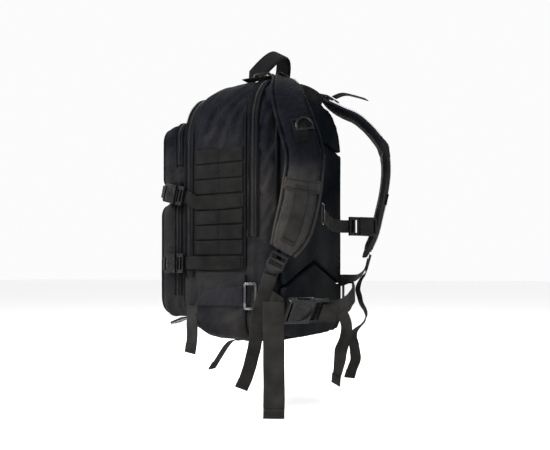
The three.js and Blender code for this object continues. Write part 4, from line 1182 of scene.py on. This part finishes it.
RIGHT_LIFTER_LOCK = buckle_frame((80, 76, 508.6), (82, 40, 508), (0, 0, 1))
LEFT_LIFTER_LOCK = buckle_frame((-78.5, 131, 495.5), (-79, 98, 505.5), (0, 0.29, 0.96))
LEFTWARD = (-1, 0, 0)
strap("load_lifter_right", [
    ((82, 20, 503.5), LEFTWARD), strap_key(RIGHT_LIFTER_LOCK, 30, UNDER),
    strap_key(RIGHT_LIFTER_LOCK, 2, UNDER - 1), ((79, 92, 504.2), LEFTWARD),
], tacks=(0.004, 0.008))
strap("load_lifter_left", [
    ((-82, 34, 504), LEFTWARD), ((-82, 78, 504.5), LEFTWARD), strap_key(LEFT_LIFTER_LOCK, 28, UNDER),
    strap_key(LEFT_LIFTER_LOCK, 4, UNDER),
], tacks=(0.004, 0.008))
for word, route in (
    ("right", [(79.5, 91, 503.6), (79.5, 97, 505.6), (81, 102, 507), (84, 108, 504.6), (87, 114, 498.5)]),
    ("left", [(-78.5, 131.5, 491.5), (-78, 137, 492.2), (-78, 143, 489), (-78.5, 149, 483)]),
):
    loop = Strip(keys_of([(point, LEFTWARD) for point in route], 25), step=2.5)
    webbing(f"lifter_loop_{word}", loop)
    bartack(loop, loop.length - 0.003, 0.0115, 1.1 * MM * facing(loop, loop.length, (0, 0, 1)))
route = [(-80, 141, 494), (-80, 160, 499), (-80, 186, 492), (-80, 212, 482)]
lifter_tail = Strip(keys_of([(point, LEFTWARD) for point in route], 25))
webbing("lifter_tail_left_webbing", lifter_tail)


# ---- Hip wings ----
for node in ("hip_wing_right", "hip_wing_left"):
    soft(cad_copy(f"{node}_cover", node, "wing"), 0.003, 0.0012)

# ---- Moulded and metal parts ----
# Each side release buckle: its directions, half width, socket length and half thickness.
BUCKLES = {"sternum": (STERNUM, 18.5, 36.75, 6.0), "waist": (WAIST, 25, 51.7, 6.0)}
for level, _, front, rear in SIDE_BUCKLES:
    for sign, word in ((1, "right"), (-1, "left")):
        mirrored = buckle_frame((sign * front[0], *front[1:]), (sign * rear[0], *rear[1:]), (sign, 0, 0))
        BUCKLES[f"{level}_buckle_{word}"] = (mirrored, 18.5, 36.75, 6.0)
# The rim's outline on a socket's face, in shares of the socket's length and half width.
RIM = [
    (0.30, -0.62), (0.30, 0.62), (0.62, 0.74), (0.9, 0.5), (0.94, 0), (0.9, -0.5), (0.62, -0.74),
    (0.30, -0.62),
]


def buckle_details(name):
    """Raised rim and grip ribs on both faces of a side release socket."""
    shape, half, long, high = BUCKLES[name]
    place = lambda s, a, n: bag(shape["point"](s, n, a))
    for word, n in (("outer", high), ("inner", -high)):
        rim = [place(s * long, a * half, n) for s, a in RIM]
        tube(f"{name}_rim_{word}", rim, 0.55 * MM, "plastic", around=6)
        for k in range(4):
            reach = half * (0.42 - 0.05 * k)
            rib = [place((0.4 + 0.09 * k) * long, a * reach, n) for a in (-1, -0.5, 0, 0.5, 1)]
            tube(f"{name}_rib_{word}_{k + 1}", rib, 0.6 * MM, "plastic", around=6)


for name in BUCKLES:
    hardware(f"{name}_socket", width=1.2)
    hardware(f"{name}_tongue", width=0.8)
    buckle_details(name)
for word in ("right", "left"):
    for kind in ("ladder", "lifter", "bottom"):
        hardware(f"{kind}_lock_{word}")
    hardware(f"belt_ring_{word}", "metal", 0.9)
for node in (
    "rear_zip_slider_right", "rear_zip_slider_left", "main_zip_slider_upper", "main_zip_slider_lower",
    "upper_pocket_slider", "lower_pocket_slider",
):
    hardware(node, "metal", 0.5)
    low, high = (np.array(v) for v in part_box(node))
    on_top, on_main = node.startswith("rear"), node.startswith("main")
    out = np.array([0, 0, 1.0]) if on_top else np.array([-1.0, 0, 0])
    hang = unit(np.array([0, 0.45, -0.15]) if on_top else np.array([-0.12, 0, -1.0]))
    t = np.linspace(0, 1, 12)[:, None]
    bow = np.sin(t * math.pi)
    front = (low + high) / 2 + out * (high - low) / 2
    pull = front + out * 0.003 * bow + hang * t * (0.010 if on_main else 0.030)
    for word, side in (("a", -1), ("b", 1)):
        sway = np.cross(out, hang) * 0.0011 * side * bow
        tube(f"{node}_pull_{word}", pull + sway, 0.9 * MM, "webbing", around=6, body=BODY_OF[node])
    knot = pull[-1] + hang * np.linspace(-0.002, 0.006, 6)[:, None]
    tube(f"{node}_pull_end", knot, 2.1 * MM, "plastic", body=BODY_OF[node])

# ---- Carry handle: a folded, padded webbing grip ----
angles = np.linspace(0, math.pi, 25)
reach, height = 62 * np.cos(angles), 2 + 74 * (1 - np.abs(np.cos(angles)) ** 1.9)
lean = math.radians(30)
sides = np.tile([0, math.cos(lean), -math.sin(lean)], (len(angles), 1))
widths = np.minimum(37, 8 + 1.7 * (height - 2))
keys = [reach, 20 + height * math.sin(lean), 505 + height * math.cos(lean), sides, widths]
grip = Strip(np.column_stack(keys), smooth=False)
extrude("carry_handle_grip", grip, lambda k, half: pad_section(half, 5.6 * MM), "binding",
        body="carry_handle", stands_for=("carry_handle",))
s = np.arange(0.03, grip.length - 0.03, 0.003)
half = np.interp(s, grip.s, grip.width) / 2
for sign in (1, -1):
    for out in (1, -1):
        points = grip.points(s, sign * (half - 0.0042), np.full(len(s), out * 2.75 * MM))
        stitch_line(points, grip.frame(s)[3] * out, "carry_handle")

inflate()
sew_all()

# ---- Any CAD node still showing gets its material ----
for row in frame["record"]["subparts"]:
    for slot in bpy.data.objects[row["node"]].material_slots:
        slot.material = MATERIALS[row["material_slot"]]

# ---- Floor, light and world ----
FLOOR_Z = -0.398
bpy.ops.mesh.primitive_plane_add(size=60, location=(0, 0, FLOOR_Z))
floor = bpy.context.object
floor.name = "floor"
paper = bpy.data.materials.new("paper")
paper.use_nodes = True
paper_shader = paper.node_tree.nodes["Principled BSDF"]
paper_shader.inputs["Base Color"].default_value = (0.93, 0.93, 0.93, 1)
paper_shader.inputs["Roughness"].default_value = 0.9
floor.data.materials.append(paper)


def area_light(name, place, target, size, power):
    """A square lamp, size metres a side, that shines from place to target."""
    lamp = bpy.data.objects.new(name, bpy.data.lights.new(name, "AREA"))
    lamp.data.shape = "RECTANGLE"
    lamp.data.size = lamp.data.size_y = size
    lamp.data.energy = power
    lamp.location = place
    lamp.rotation_mode = "QUATERNION"
    lamp.rotation_quaternion = (Vector(target) - Vector(place)).to_track_quat("-Z", "Y")
    scene.collection.objects.link(lamp)


area_light("key", (1.3, -1.3, 1.3), (0, -0.1, 0), 0.8, 95)
area_light("fill", (1.9, 0.7, 0.5), (0, 0, 0), 1.2, 14)
area_light("top", (-0.3, 0.2, 1.9), (0, 0, 0), 1.6, 24)
area_light("back", (-1.6, -0.8, 0.8), (0, 0, 0), 1.4, 20)
world = bpy.data.worlds.new("world")
world.use_nodes = True
backdrop = world.node_tree.nodes["Background"]
backdrop.inputs["Color"].default_value = (1, 1, 1, 1)
backdrop.inputs["Strength"].default_value = 0.97
scene.world = world
scene.view_settings.view_transform = "Standard"

low, high = cad_box
